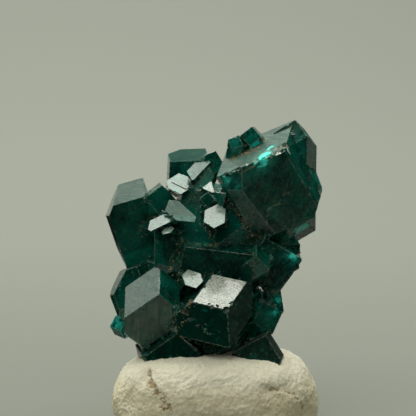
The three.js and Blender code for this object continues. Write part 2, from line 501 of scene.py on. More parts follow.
def cleared(group: Collection) -> Collection:
    """Deletes a collection's objects.

    Args:
        group: The collection.

    Returns:
        The same collection, empty.
    """
    for used in list(group.objects):
        bpy.data.objects.remove(used)
    return group


class Workbench:
    """Joins and cuts solids, and turns the results into plain meshes."""

    def __init__(self) -> None:
        """Makes the collection that holds the solids being worked on."""
        self.holder = bpy.data.collections.new("workbench")
        bpy.context.scene.collection.children.link(self.holder)

    def place(self, mesh: Mesh) -> Object:
        """Puts a mesh on the bench.

        Args:
            mesh: The mesh.

        Returns:
            Its object.
        """
        worked = bpy.data.objects.new(mesh.name, mesh)
        self.holder.objects.link(worked)
        return worked

    def combine(self, base: Mesh, others: Iterable[Mesh], work: Work) -> Mesh:
        """Joins solids to a base, or cuts them out of it.

        Args:
            base: The solid that is worked on.
            others: The solids that are joined to it or cut out of it.
            work: Which of the two is done.

        Returns:
            The resulting closed mesh.
        """
        tools = gathered("tools", others)
        worked = self.place(base)
        boolean = worked.modifiers.new("combine", "BOOLEAN")
        boolean.operation = work.value
        boolean.operand_type = "COLLECTION"
        boolean.collection = tools
        boolean.solver = "MANIFOLD"
        result = self.plain(worked)
        bpy.data.collections.remove(cleared(tools))
        cleared(self.holder)
        return result

    @staticmethod
    def plain(worked: Object) -> Mesh:
        """A plain mesh of an object with its modifiers worked in."""
        graph = bpy.context.evaluated_depsgraph_get()
        return bpy.data.meshes.new_from_object(worked.evaluated_get(graph), depsgraph=graph)


@dataclass(frozen=True)
class Finish:
    """A material with a name, which each finish builds in its own way."""

    name: str

    def material(self) -> Material:
        """Builds the material.

        Returns:
            The material.
        """
        material = bpy.data.materials.new(self.name)
        material.use_nodes = True
        graph = Graph(material.node_tree)
        graph.add("ShaderNodeOutputMaterial", {}, self.build(graph))
        return material

    def build(self, graph: Graph) -> dict[str, Node]:
        """Adds the finish's nodes, and gives what goes to each socket of the output."""
        raise NotImplementedError


def finished_piece(
    name: str, mesh: Mesh, finish: Finish, slot: Slot, stands_for: Sequence[str] = ()
) -> Object:
    """Makes a piece of the object from a mesh in millimetres.

    Args:
        name: The piece's name.
        mesh: Its mesh, in millimetres.
        finish: Its finish.
        slot: The record's material slot; not used.
        stands_for: The CAD nodes that it replaces.

    Returns:
        The piece, which rides on the root body.
    """
    mesh.name = name
    mesh.transform(Matrix.Diagonal((METRE, METRE, METRE, 1.0)))
    mesh.materials.clear()
    mesh.materials.append(finish.material())
    for polygon in mesh.polygons:
        polygon.material_index = 0
    piece = shown(name, mesh)
    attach(piece, "root")
    if stands_for:
        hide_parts(*stands_for)
    mesh.calc_loop_triangles()
    LOG.info("%s: %d triangles", name, len(mesh.loop_triangles))
    return piece


# Crystals


@dataclass(frozen=True)
class Cut:
    """A broken face: the way that it faces, in degrees, a point on it, and how matt it is."""

    bearing: float
    rise: float
    at: Point
    matt: float = 0.0


@dataclass
class Body:
    """A convex body: the planes that bound it, and what is known of each plane's face.

    The marks are each face's kind, and how worn it is, how pale from frosting and painted
    highlight, how matt, and how dark from painted shade.
    """

    normals: np.ndarray
    offsets: np.ndarray
    marks: list[tuple[float, ...]]
    axis: np.ndarray

    def corners(self) -> np.ndarray:
        """Finds where three planes meet on the body.

        Returns:
            The corners, one row each.
        """
        triples = np.array(list(combinations(range(len(self.offsets)), 3)))
        matrices = self.normals[triples]
        crossing = np.abs(np.linalg.det(matrices)) > NEAR
        sums = self.offsets[triples[crossing]][..., None]
        points = np.linalg.solve(matrices[crossing], sums)[..., 0]
        points = points[(points @ self.normals.T <= self.offsets + ROUNDING).all(axis=1)]
        kept: list[np.ndarray] = []
        for point in points:
            if all(np.linalg.norm(point - other) > NEAR for other in kept):
                kept.append(point)
        return np.array(kept).reshape(-1, 3)

    def meshes(self, name: str, tone: float, chamfer: float, shift: float) -> list[Mesh]:
        """Builds the body with worn edges.

        Args:
            name: The mesh's name.
            tone: A number from 0 to 1 that tells this crystal's colour from the others'.
            chamfer: How wide its worn edges are.
            shift: Where on the surface patterns its own begins.

        Returns:
            The mesh in a list, which is empty where the planes leave nothing that closes.
        """
        points = self.corners()
        if len(points) < 4:
            return []
        bm = bmesh.new()
        verts = [bm.verts.new(point) for point in points]
        flow = bm.loops.layers.uv.new("lattice")
        layers = face_layers(bm, "tone", "kind", "worn", "frost", "matt", "shade")
        for normal, offset, marks in zip(self.normals, self.offsets, self.marks, strict=True):
            across = unit(np.cross(self.axis, normal))
            along = np.cross(normal, across)
            on = np.flatnonzero(np.abs(points @ normal - offset) < NEAR)
            if len(on) < 3:
                continue
            spokes = points[on] - points[on].mean(axis=0)
            order = np.argsort(np.arctan2(spokes @ along, spokes @ across))
            face = bm.faces.new([verts[i] for i in on[order]])
            for layer, mark in zip(layers.values(), (tone, *marks), strict=True):
                face[layer] = mark
            for loop in face.loops:
                place = np.array(loop.vert.co)
                loop[flow].uv = (place @ across + shift, place @ along - shift)
        made = bmesh.ops.bevel(
            bm, geom=list(bm.edges), offset=chamfer, segments=1, profile=0.5, affect="EDGES",
            clamp_overlap=True,
        )
        for face in made["faces"]:
            face[layers["worn"]] = 1.0
        if all(edge.is_manifold for edge in bm.edges) and bm.calc_volume() >= LEAST_VOLUME:
            return [closed(bm, name)]
        bm.free()
        return []


@dataclass(frozen=True)
class Crystal:
    """One crystal.

    The tip is where the three cap rhombs meet. Bearing and rise are the way that it points, in
    degrees, and spin turns the crystal about its axis. The sides are the distances of the six
    prism faces from the axis, taken in turn where fewer are given, and the length is how far
    down the axis the other end lies. Frost and highlight is how pale its first rhomb is, partly
    from etching and partly as painted highlight; matt is how dull each of its three rhombs is,
    and shade is painted shade: how far the whole crystal's colour is darkened towards near-black.
    """

    name: str
    tip: Point
    bearing: float
    rise: float
    spin: float
    sides: tuple[float, ...]
    length: float
    cuts: tuple[Cut, ...] = ()
    frost: float = 0.0
    matt: tuple[float, float, float] = (0.0, 0.0, 0.0)
    # Painted shade: how far the whole crystal's colour is darkened towards near-black.
    shade: float = 0.0

    def axis(self) -> np.ndarray:
        """The way that the crystal points."""
        return heading(self.bearing, self.rise)

    def facing(self, around: float, lean: float) -> np.ndarray:
        """Finds the normal of a face.

        Args:
            around: Its angle round the long axis, in degrees.
            lean: Its angle away from the long axis, in degrees.

        Returns:
            The normal.
        """
        along = self.axis()
        uphill = heading(self.bearing, self.rise + 90)
        spin, turn, tilt = (math.radians(angle) for angle in (self.spin, around, lean))
        across = uphill * math.cos(spin) + np.cross(along, uphill) * math.sin(spin)
        level = across * math.cos(turn) + np.cross(along, across) * math.sin(turn)
        return level * math.sin(tilt) + along * math.cos(tilt)

    def side(self, number: int) -> float:
        """The distance of a prism face from the axis."""
        return self.sides[number % len(self.sides)]

    def girth(self) -> float:
        """Half the least distance between two opposite prism faces."""
        return min((self.side(k) + self.side(k + 3)) / 2 for k in range(3))

    def body(self, grow: float = 0.0) -> Body:
        """The crystal's plain body, with every face pushed out a little.

        Args:
            grow: How far the faces are pushed out.

        Returns:
            The body.
        """
        tip = np.array(self.tip)
        foot = tip - self.axis() * self.length
        planes: list[tuple[np.ndarray, float, Face, float, float]] = []
        for k in range(CAP_FACES):
            top = self.facing(120 * k, CAP_LEAN)
            end = self.facing(60 + 120 * k, 180 - CAP_LEAN)
            planes.append((top, top @ tip, Face.CAP, 0.0 if k else self.frost, self.matt[k]))
            planes.append((end, end @ foot, Face.CAP, 0.0, 0.0))
        for k in range(PRISM_FACES):
            side = self.facing(30 + 60 * k, 90)
            planes.append((side, side @ tip + self.side(k), Face.PRISM, 0.0, 0.0))
        for cut in self.cuts:
            broken = heading(cut.bearing, cut.rise)
            planes.append((broken, broken @ np.array(cut.at), Face.BROKEN, 0.0, cut.matt))
        normals, offsets, *_ = zip(*planes, strict=True)
        marks = [(kind.value, 0.0, frost, matt, self.shade) for *_, kind, frost, matt in planes]
        return Body(np.array(normals), np.array(offsets) + grow, marks, self.axis())


CRYSTALS = (
    # The largest crystal, upper right, with the one behind it and the two small ones on its
    # top face.
    Crystal("crown", (9.3, -4.2, 35.6), -79, 36, 37, (6.8, 6.4, 8, 6.2, 9.2, 7.2), 15, cuts=(
        Cut(-103, -12, (4.3, -2.5, 30.5), 0.03),
        Cut(-103, -16, (7.2, -2, 26.5), 0.1),
        Cut(2, 20, (13.3, 0.6, 33.4)),
    ), matt=(0.6, 0.06, 0)),
    Crystal("crown_back", (11, 3, 38.9), -90, 84, 30, (2.4,), 16, matt=(0.95, 0.95, 0.8),
            shade=0.55),
    Crystal("crown_bead", (5.5, 2, 38.1), -95, 62, 52, (1.35,), 4),
    Crystal("crown_seed", (3.8, 1.6, 37), -75, 63, 17, (1.05,), 7),
    # Upper left, and the crystals behind it.
    Crystal("shoulder", (-7.8, 2.1, 29.3), -55, 37, 26, (3.2, 4.6, 6.6, 7.2, 5, 5.2), 14, cuts=(
        Cut(-172, -19, (-11.9, 2.7, 24.7)),
        Cut(-176, 21, (-12.1, 4, 28.2)),
    ), matt=(0.7, 0, 0), shade=0.2),
    Crystal("wedge", (-5.8, 2.2, 30.7), -72, 56, 48, (2,), 8),
    Crystal("back_post", (-4.9, 6.6, 33.3), -127, 27, -9, (3.7, 2.4, 3, 3, 3, 4.4), 8,
            matt=(0.95, 0, 0)),
    Crystal("back_ridge", (1, 7, 34.7), -16, 66, 116, (2, 1.3, 1.6, 1.6, 1.3, 2), 12),
    Crystal("window", (-3.4, 0.8, 29.5), -87, 7, 2, (2.8, 1.7, -0.1, -0.1, 1.5, 3.4), 5.5,
            frost=0.24),
    Crystal("strip", (-2, 1.5, 31.3), -111, 12, -15, (3.5, 1.6, 0, -0.1, 0.1, 2.6), 6,
            frost=0.1, matt=(0.3, 0, 0)),
    Crystal("back_slope", (0.2, 5, 32.8), 11, 62, 74, (2.6, 1.2, 2, 2, 1.2, 2.6), 8),
    # The middle.
    Crystal("triangle", (0.7, -1.5, 30), -83, 6, 4, (1.3, 1.2, 0, -0.1, 0.1, 1.4), 5, frost=0.5),
    Crystal("hexagon", (0.7, -6.6, 26.2), -92, 8, -2, (2.6, 1.3, 0, 0, 1.3, 2.8), 7.5, frost=0.2),
    Crystal("hexagon_side", (0, -1.8, 30.2), -96, 62, 53, (1,), 5),
    Crystal("inner", (1.9, 0.5, 30.7), -130, 47, -31, (5, 3, 4, 3, 3, 4.4), 9),
    Crystal("ledge", (-1.5, -4.5, 26.6), -60, 9, 18, (3.4, 1.7, -0.1, -0.1, 0.8, 2.9), 6.5,
            frost=0.03, matt=(0.65, 0, 0)),
    Crystal("patch", (-7, -5.4, 25.7), -97, 6, -2, (1.3, 0.4, 0, 0, 2.3, 2.5), 7, frost=0.2),
    Crystal("patchlet", (-5.5, -5.1, 25.3), -105, 12, -10, (0.9, 0.3, 0, 0, 0.8, 1.3), 5,
            frost=0.3),
    Crystal("lintel", (-2.9, -4.5, 23.7), -128, 34, 105, (4.1, 3.6, 7.4, 6.6, 6, 2.8), 14,
            shade=0.5),
    Crystal("bevel", (5.9, -5.5, 22.6), -86, 27, 55, (1.6, 2, 1.8, 1.8, 2, 1.6), 7),
    Crystal("table", (2.3, -11.7, 17), -73, 10, 12, (3.3, 5, 4, 4, 5, 4.3), 14.7, frost=0.56,
            matt=(0, 1, 0.92), shade=0.6),
    Crystal("tile", (-1.4, -8.4, 19), -80, 8, 8, (2.2, 1.1, -0.1, -0.1, 1.2, 2.1), 6, frost=0.4),
    # Lower left.
    Crystal("cheek", (-5.9, -9, 18.5), -87, 23, 58, (4.1, 5.2, 3.8, 2.6, 3.4, 4), 12,
            frost=0.08, matt=(0.25, 0.45, 0)),
    Crystal("chock", (-6.5, -3.7, 21.2), -147, 36, -70, (1.2, 0.5, 1, 1, 0.5, 1.2), 5, shade=0.5),
    Crystal("flank", (-9, 1.2, 20.5), -90, 48, 25, (3.4,), 10, cuts=(
        Cut(-170, 25, (-11.2, 0.9, 17.8)),
    ), shade=0.3),
    Crystal("teal", (-11.6, -1.4, 14.6), -136, 56, -19, (3.4, 1.1, 1.1, 1.1, 1.1, 3.4), 3.7),
    # Right side.
    Crystal("spur_high", (11.6, 0.4, 23.4), -31, 26, 8, (2.4,), 10),
    Crystal("spur_middle", (9.1, -1.1, 17.8), -19, 43, 114, (2,), 9),
    Crystal("spur_low", (9.3, -2.3, 15.2), -22, 14, 98, (2.2,), 9),
    Crystal("under", (7, -2.4, 24.5), -98, 44, 78, (4,), 9, shade=0.4),
    # The foot, which stands in the putty.
    Crystal("foot", (-3.6, -7.5, 13.6), -84, 42, 53, (5, 4, 4, 4, 4, 5), 9, matt=(0, 1, 1),
            shade=0.8),
    Crystal("foot_side", (-6.9, -4.6, 12.6), -98, 43, 40, (2,), 7, shade=0.8),
    Crystal("keel", (7, -6.9, 13.1), -75, 57, 33, (3.4, 3, 3.4, 2.6, 3, 3.4), 8.4,
            matt=(0.3, 0.97, 0.9), shade=0.8),
    # The back.
    Crystal("rear_crown", (7.4, 7.6, 33.4), 62, 36, 10, (3.8, 3.4, 3.6, 4.2, 3.6, 3.8), 9),
    Crystal("rear_shoulder", (-8, 7.8, 27), 128, 24, 40, (3.2, 3.4, 3.2, 3.4, 3, 3.2), 8),
    Crystal("rear_middle", (-0.6, 9.6, 28), 96, 14, 25, (4, 4.4, 4.6, 4.2, 4.4, 4), 12),
    Crystal("rear_right", (10.6, 6.2, 26), 28, 18, 70, (3.2, 3.6, 3.2, 3.4, 3.2, 3.4), 8),
    Crystal("rear_low", (4.6, 8.4, 20), 70, 8, 50, (4.2, 3.6, 3.8, 4, 3.6, 4.2), 11),
    Crystal("rear_flank", (-8.8, 6, 19), 148, 12, 15, (3.2, 3.6, 3.4, 3.2, 3.6, 3.4), 10),
    Crystal("rear_foot", (-3, 7.8, 14.4), 108, 22, 80, (3.6, 4, 3.6, 3.6, 4, 3.6), 9),
    Crystal("rear_keel", (6.6, 5.2, 15), 36, 24, 30, (3, 3.4, 3.2, 3.2, 3.4, 3), 9),
    Crystal("rear_seed", (1.6, 9.6, 23.4), 80, 34, 35, (1.3,), 5),
    Crystal("rear_bead", (-5.6, 9, 23), 118, 2, 75, (1.5,), 6),
    Crystal("side_high", (12.2, 1.2, 28), 8, 24, 44, (2.4, 2.8, 2.6, 2.7, 2.8, 2.6), 7),
    Crystal("side_seed", (10.4, 3.4, 20.2), 12, 6, 20, (1.4,), 6),
    Crystal("side_low", (-9.9, 1.4, 14.9), 172, 24, 62, (2.4, 2.8, 2.6, 2.4, 2.8, 2.6), 8),
    # The crystal in the middle, which the rest grew on.
    Crystal("middle", (-0.3, 2.6, 30), 90, 86, 0, (5.4, 6.4, 5.4, 5.4, 6.4, 5.5), 25,
            matt=(1, 0, 0)),
)


@dataclass(frozen=True)
class Battered:
    """An edge with many knocks: its points, their count and sizes, and how pale they are, partly
    worn and partly painted highlight.
    """

    line: tuple[Point, ...]
    count: int
    sizes: tuple[float, float]
    frost: float


@dataclass(frozen=True)
class Chips:
    """Small chips knocked out of the crystals' edges."""

    count: int = 640
    sizes: tuple[float, float] = (0.09, 0.5)
    seed: int = 5
    shortest_edge: float = 0.25
    least_angle: float = 0.3
    faint_frost_and_painted_highlight: float = 0.1
    smallness: float = 1.8
    between: tuple[float, float] = (0.05, 0.95)
    standing_out: tuple[float, float] = (0.35, 0.8)
    knock_spread: float = 0.12
    knock_shift: Point = (0.0, -0.15, 0.15)
    battered: tuple[Battered, ...] = (
        Battered(((1, -2, 31.7), (5.2, -3, 33.9), (9.3, -4.2, 35.6)), 26, (0.15, 0.45), 0.6),
        Battered(((8.2, -2.4, 35.6), (9.3, -2, 36.2), (10.2, -3.4, 35.3)), 24, (0.2, 0.55), 0.8),
        Battered(((7.4, -3.3, 34.7), (8.5, -3.9, 35.2), (9.2, -4.1, 35.5)), 12, (0.18, 0.42), 0.9),
        Battered(((2.3, -11.7, 17), (3.7, -10.1, 18.1), (4.9, -8.2, 19.6)), 14, (0.2, 0.6), 0.5),
        Battered(((2.3, -11.7, 17), (-1.6, -9.8, 17.6)), 10, (0.12, 0.36), 0.3),
        Battered(((4.9, -8.2, 19.6), (5.3, -9.4, 17.6), (4.4, -10.6, 15.6)), 9, (0.3, 0.7), 0.1),
        Battered(((-2.6, -9.4, 17.2), (-2.4, -9.2, 15.4), (0.6, -9.6, 13)), 9, (0.3, 0.7), 0.0),
        Battered(((2.3, -11.7, 17), (2, -11, 14.6), (1.4, -10.2, 12.6)), 7, (0.25, 0.6), 0.0),
        Battered(((-5.9, -9, 18.5), (-5.8, -6.6, 20.8)), 9, (0.12, 0.3), 0.5),
        Battered(((12.4, 0, 36), (13.6, 1, 33), (14.2, 1.2, 30)), 16, (0.4, 0.9), 0.0),
        Battered(((11.9, -2, 35), (12.6, -2.4, 32), (13.4, -2, 29)), 10, (0.2, 0.6), 0.1),
    )

    def pebbles(self, mesh: Mesh) -> Iterator[Mesh]:
        """Builds the bodies that are cut out of a mesh's edges.

        Args:
            mesh: The mesh that is to be chipped.

        Returns:
            The bodies, one after another.
        """
        rng = np.random.default_rng(self.seed)
        bm = opened(mesh)
        edges = [
            edge for edge in bm.edges
            if len(edge.link_faces) == 2 and edge.is_convex
            and edge.calc_length() > self.shortest_edge
            and edge.calc_face_angle() > self.least_angle
        ]
        lengths = np.array([edge.calc_length() for edge in edges])
        least, most = self.sizes
        for index in rng.choice(len(edges), self.count, p=lengths / lengths.sum()):
            start, end = (np.array(vert.co) for vert in edges[index].verts)
            outward = unit(sum(np.array(face.normal) for face in edges[index].link_faces))
            size = least * (most / least) ** (rng.uniform() ** self.smallness)
            at = start + (end - start) * rng.uniform(*self.between)
            at = at + outward * size * rng.uniform(*self.standing_out)
            yield self.pebble("chip", at, size, rng, self.faint_frost_and_painted_highlight)
        bm.free()
        for edge in self.battered:
            line = np.array(edge.line, float)
            for _ in range(edge.count):
                share = rng.uniform(0, len(line) - 1)
                step = min(int(share), len(line) - 2)
                at = line[step] + (line[step + 1] - line[step]) * (share - step)
                at = at + rng.normal(0, self.knock_spread, 3) + np.array(self.knock_shift)
                frost = edge.frost if rng.uniform() < 0.5 else self.faint_frost_and_painted_highlight
                yield self.pebble("knock", at, rng.uniform(*edge.sizes), rng, frost)

    @staticmethod
    def pebble(
        name: str, at: np.ndarray, size: float, rng: np.random.Generator, frost: float = 0.0
    ) -> Mesh:
        """Builds one uneven body.

        Args:
            name: Its name.
            at: Its middle.
            size: Half its width.
            rng: Where its unevenness comes from.
            frost: How pale the hollow that it leaves is, partly from frosting and partly as
                painted highlight.

        Returns:
            Its mesh.
        """
        bm = bmesh.new()
        layers = face_layers(bm, "kind", "worn", "frost")
        bmesh.ops.create_icosphere(bm, subdivisions=1, radius=1.0)
        turn, _ = np.linalg.qr(rng.normal(size=(3, 3)))
        if np.linalg.det(turn) < 0:
            turn[:, 0] *= -1
        shape = turn @ np.diag([size * rng.uniform(1, 2.2), size, size * rng.uniform(0.5, 0.9)])
        for vert in bm.verts:
            vert.co = shape @ (np.array(vert.co) * rng.uniform(0.8, 1.15)) + at
        for face in bm.faces:
            for layer, mark in zip(layers.values(), (Face.BROKEN.value, 0.6, frost), strict=True):
                face[layer] = mark
        return closed(bm, name)


# Where the stone is stained and scarred, and where light is painted on it

# Thin tan veins, each a row of points.
STAINED_VEINS = (
    (
        (10.7, -3.3, 30.6), (10.1, -3.2, 30.3), (9.2, -3, 29.9), (8.8, -2.7, 28.8),
        (8, -2.5, 28.5), (7.4, -2.4, 28.1), (7.3, -2.1, 27), (7.4, -1.8, 25.7),
    ),
    ((3.8, -2.9, 32.6), (4.5, -3, 32.9), (6, -3.4, 33.7)),
)

# Trails of stained crumbs along the joints, drawn the same way.
CRUMB_TRAILS = (
    ((2.5, 0.3, 29), (3.1, 0.1, 28), (4, -1.1, 27.1), (5, -1.1, 25.6), (5.5, -0.8, 24.6)),
    ((-1, -0.8, 26.3), (-0.4, -1.5, 25.7), (0.5, -2.3, 24.8), (1.1, -3.3, 23.8)),
    ((3.2, 0.9, 34), (4.6, 0.9, 34.7), (6.1, 1, 35.4)),
    ((-3.2, -2.5, 24.3), (-3.7, -2.3, 23), (-4.3, -2, 22), (-4.7, -4, 20.5)),
    ((-2.2, -9.8, 17.6), (-2.6, -9.4, 16.4), (-3.1, -8.7, 15.3), (-3.9, -7.4, 13.9)),
)

# Pale scratches and scars, drawn the same way.
PALE_LINES = (
    ((-3.4, -7.6, 13.2), (-2.7, -7.3, 12.5), (-2.1, -7.1, 12), (-1.3, -6.4, 11.3)),
    ((4.4, -0.8, 35.3), (5, -0.7, 36.1), (5.7, -0.9, 36.4)),
)

# Places where the crystal is thin or cracked and its colour is painted brighter as painted light,
# with each one's reach and strength.
PAINTED_GLOW_SPOTS = (
    ((7, -2.8, 34.8), 1.3, 1.5), ((6.6, -3.6, 34.1), 1.1, 1.5), ((7.7, -1.2, 35.6), 0.9, 1.3),
    ((6.1, -3.4, 33.9), 0.8, 1.5), ((10.6, -1.8, 22.1), 1.1, 1.2), ((8.7, -1.5, 16.6), 0.9, 1.15),
    ((8.3, -2.6, 15.2), 0.8, 1.15), ((3.6, -2.4, 31), 1, 0.9), ((2, -2.3, 32), 0.9, 0.9),
    ((-11.5, -1.6, 13.8), 2.4, 0.95), ((1.7, -1.7, 31), 1.2, 1), ((2.5, -2.3, 31.7), 1.3, 1),
    ((12.5, 1.2, 35.2), 2.2, 0.5), ((13.9, 2.3, 31.3), 1.3, 0.5), ((3.3, 1, 36.2), 1, 0.8),
    ((5.5, 1.2, 37.7), 1.2, 0.8), ((-4.2, 4.9, 31.6), 2, 0.5), ((3.2, -2.3, 30.9), 0.9, 0.9),
)


@dataclass(frozen=True)
class DioptaseFinish(Finish):
    """Emerald-green crystal: clear where it is thin and sound, hazy where it is flawed, with
    painted light and shade in its colour.
    """

    # Painted shade: the near-black that shaded crystals are darkened towards.
    painted_shade_colour: Colour = (0.0010, 0.010, 0.007, 1.0)
    deep: Colour = (0.0008, 0.045, 0.032, 1.0)
    body: Colour = (0.0025, 0.150, 0.098, 1.0)
    # Painted light: the brighter teal and the glints that stand in for light through thin or
    # cracked crystal.
    painted_light_colour: Colour = (0.0, 0.31, 0.24, 1.0)
    painted_glint_colour: Colour = (0.06, 0.90, 0.76, 1.0)
    # Pale colour, partly frosting and partly painted highlight where faces would mirror the
    # lights.
    frost: Colour = (0.58, 0.60, 0.52, 1.0)
    stain: Colour = (0.34, 0.26, 0.13, 1.0)
    tint: Colour = (0.75, 1.0, 0.95, 1.0)
    ior: float = 1.68
    haze_gloss: float = 0.38
    matt_gloss: float = 0.01
    depth_colour: Colour = (0.0, 0.862, 0.845, 1.0)
    depth_density: float = 2800.0

    def build(self, graph: Graph) -> dict[str, Node]:
        """Adds the finish's nodes.

        Args:
            graph: The material's tree.

        Returns:
            What goes to each socket of the output.
        """
        flow = graph.add("ShaderNodeUVMap", {"uv_map": "lattice"}).outputs["UV"]
        tone, worn, glow, frost, matt = (
            graph.attribute(name) for name in ("tone", "worn", "glow", "frost", "matt")
        )
        cap = graph.attribute("kind").step(0.4, 0.6)
        near_joint = graph.attribute("crevice").step(0.5, 0.0)
        thin = graph.attribute("thickness").step(1.8, 0.2)
        clouds = graph.noise(0.3, 3.0, distortion=0.4)
        mottle = graph.noise(1.3, 6.0, distortion=1.0)
        flecks = graph.noise(5.0, 4.0)
        grit = graph.noise(11.0, 2.0)
        stripes = graph.noise(1.0, 4.0, flow, (6.0, 0.22, 1.0))
        hillocks = graph.cells(1.7).step(0.0, 0.4)
        pits = graph.cells(2.3).step(0.16, 0.08) * mottle.step(0.5, 0.6)
        inside = 0.6 * graph.blocks(0.42, flow) + 0.4 * graph.blocks(1.5, flow)

        # Painted light: brighter teal at the spots of painted light, where the crystal is thin,
        # and in patches set by each crystal's tone.
        painted_light = (glow * mottle.step(0.40, 0.54)).most(0.6 * tone * mottle.step(0.58, 0.72))
        painted_light = painted_light.most(0.6 * thin * mottle.step(0.45, 0.6))
        # Painted shade: the crystal's shade number darkens its colour towards near-black, a little
        # less in mottled patches.
        shade = graph.attribute("shade") * (1 - 0.5 * mottle.step(0.5, 0.66))
        depth = 0.5 * clouds.step(0.4, 0.62) + 0.9 * inside.step(0.2, 0.8) + 0.5 * tone - 0.3

        # Pale marks: frosting and painted highlight on the given faces and knocks, and worn edges,
        # dust, scoring, matt streaks, scratches and a faint film.
        etching_and_painted_highlight = frost * (0.6 + 0.8 * flecks.step(0.4, 0.6))
        etching_and_painted_highlight = etching_and_painted_highlight.most(0.45 * worn * flecks.step(0.45, 0.6))
        dust = graph.cells(1.2).step(0.09, 0.05) * mottle.step(0.47, 0.52)
        scored = graph.noise(1.0, 2.0, flow, (9.0, 0.12, 1.0)).step(0.66, 0.7)
        calm = 1 - matt
        streaked = stripes.step(0.4, 0.6) * mottle.step(0.36, 0.56)
        etching_and_painted_highlight = etching_and_painted_highlight.most(0.7 * dust).most(0.12 * scored * calm)
        etching_and_painted_highlight = etching_and_painted_highlight.most(matt * calm * (0.15 + 0.85 * streaked * (0.3 + 0.7 * cap)))
        scratch = graph.attribute("pale_line").step(0.09, 0.02) * flecks.step(0.35, 0.5)
        film = flecks.step(0.55, 0.7) * clouds.step(0.5, 0.7)
        etching_and_painted_highlight = etching_and_painted_highlight.most(0.5 * scratch) + 0.08 * film * calm
        rust = near_joint * flecks.step(0.5, 0.62) * mottle.step(0.45, 0.6)
        crack = graph.attribute("crack").step(0.08, 0.01) * mottle.step(0.32, 0.46)
        stained = (0.8 * rust).most(0.85 * crack)
        rough = 0.12 + 0.2 * mottle.step(0.45, 0.7) + 0.15 * worn + 0.4 * stained + 0.5 * matt
        rough = rough + 0.35 * pits

        colour = graph.painted(
            self.deep,
            (depth, self.body),
            (0.35 * stripes.step(0.5, 0.62), self.body),
            (0.7 * grit.step(0.52, 0.66), self.deep),
            (0.85 * matt.step(0.2, 0.8), self.deep),
            (0.8 * frost.step(0.0, 0.08), self.deep),
            (shade, self.painted_shade_colour),
            (painted_light, self.painted_light_colour),
            # Painted glints at the strongest spots of painted light.
            (glow.step(0.8, 1.1) * mottle.step(0.37, 0.45), self.painted_glint_colour),
            (etching_and_painted_highlight, self.frost),
            (0.8 * pits, self.deep),
            (stained, self.stain),
        )
        relief = graph.relief(
            (graph.noise(0.8, 2.0, distortion=0.3), 0.03, 0.5),
            (stripes * (1 - 0.8 * cap), 0.025, 0.6),
            (hillocks * cap, 0.012, 0.35),
            (mottle, 0.02, 0.45),
            (1 - pits, 0.03, 0.7),
            (flecks, 0.008, 0.5),
        )
        crystal = {"IOR": self.ior, "Normal": relief}
        glass = graph.principled(self.tint, rough, crystal | {"Transmission Weight": 1.0})
        haze = graph.principled(colour, rough, crystal | {"Specular IOR Level": self.haze_gloss})
        chalk = graph.principled(colour, 0.6, crystal | {"Specular IOR Level": self.matt_gloss})
        share = 0.38 + 0.3 * clouds.step(0.35, 0.65)
        share = share.most(stained).most(0.7 * worn).most(0.9 * painted_light)
        share = share.most(frost.step(0.0, 0.1)).most(etching_and_painted_highlight).most(pits)
        absorbing = {"Color": self.depth_colour, "Density": self.depth_density}
        return {
            "Surface": graph.blended(matt, graph.blended(share, glass, haze), chalk),
            "Volume": graph.add("ShaderNodeVolumeAbsorption", {}, absorbing),
        }


DIOPTASE = DioptaseFinish("dioptase_green")


@dataclass(frozen=True)
class IronStainFinish(Finish):
    """Tan to rusty iron staining, in fine dull crumbs."""

    tan: Colour = (0.36, 0.27, 0.15, 1.0)
    rust: Colour = (0.22, 0.10, 0.035, 1.0)

    def build(self, graph: Graph) -> dict[str, Node]:
        """Adds the finish's nodes.

        Args:
            graph: The material's tree.

        Returns:
            What goes to each socket of the output.
        """
        grain = graph.noise(9.0, 4.0)
        colour = graph.painted(self.tan, (graph.noise(0.9, 3.0).step(0.55, 0.72), self.rust))
        more = {"IOR": 1.6, "Normal": graph.relief((grain, 0.02, 0.8))}
        return {"Surface": graph.principled(colour, 0.6 + 0.3 * grain, more)}


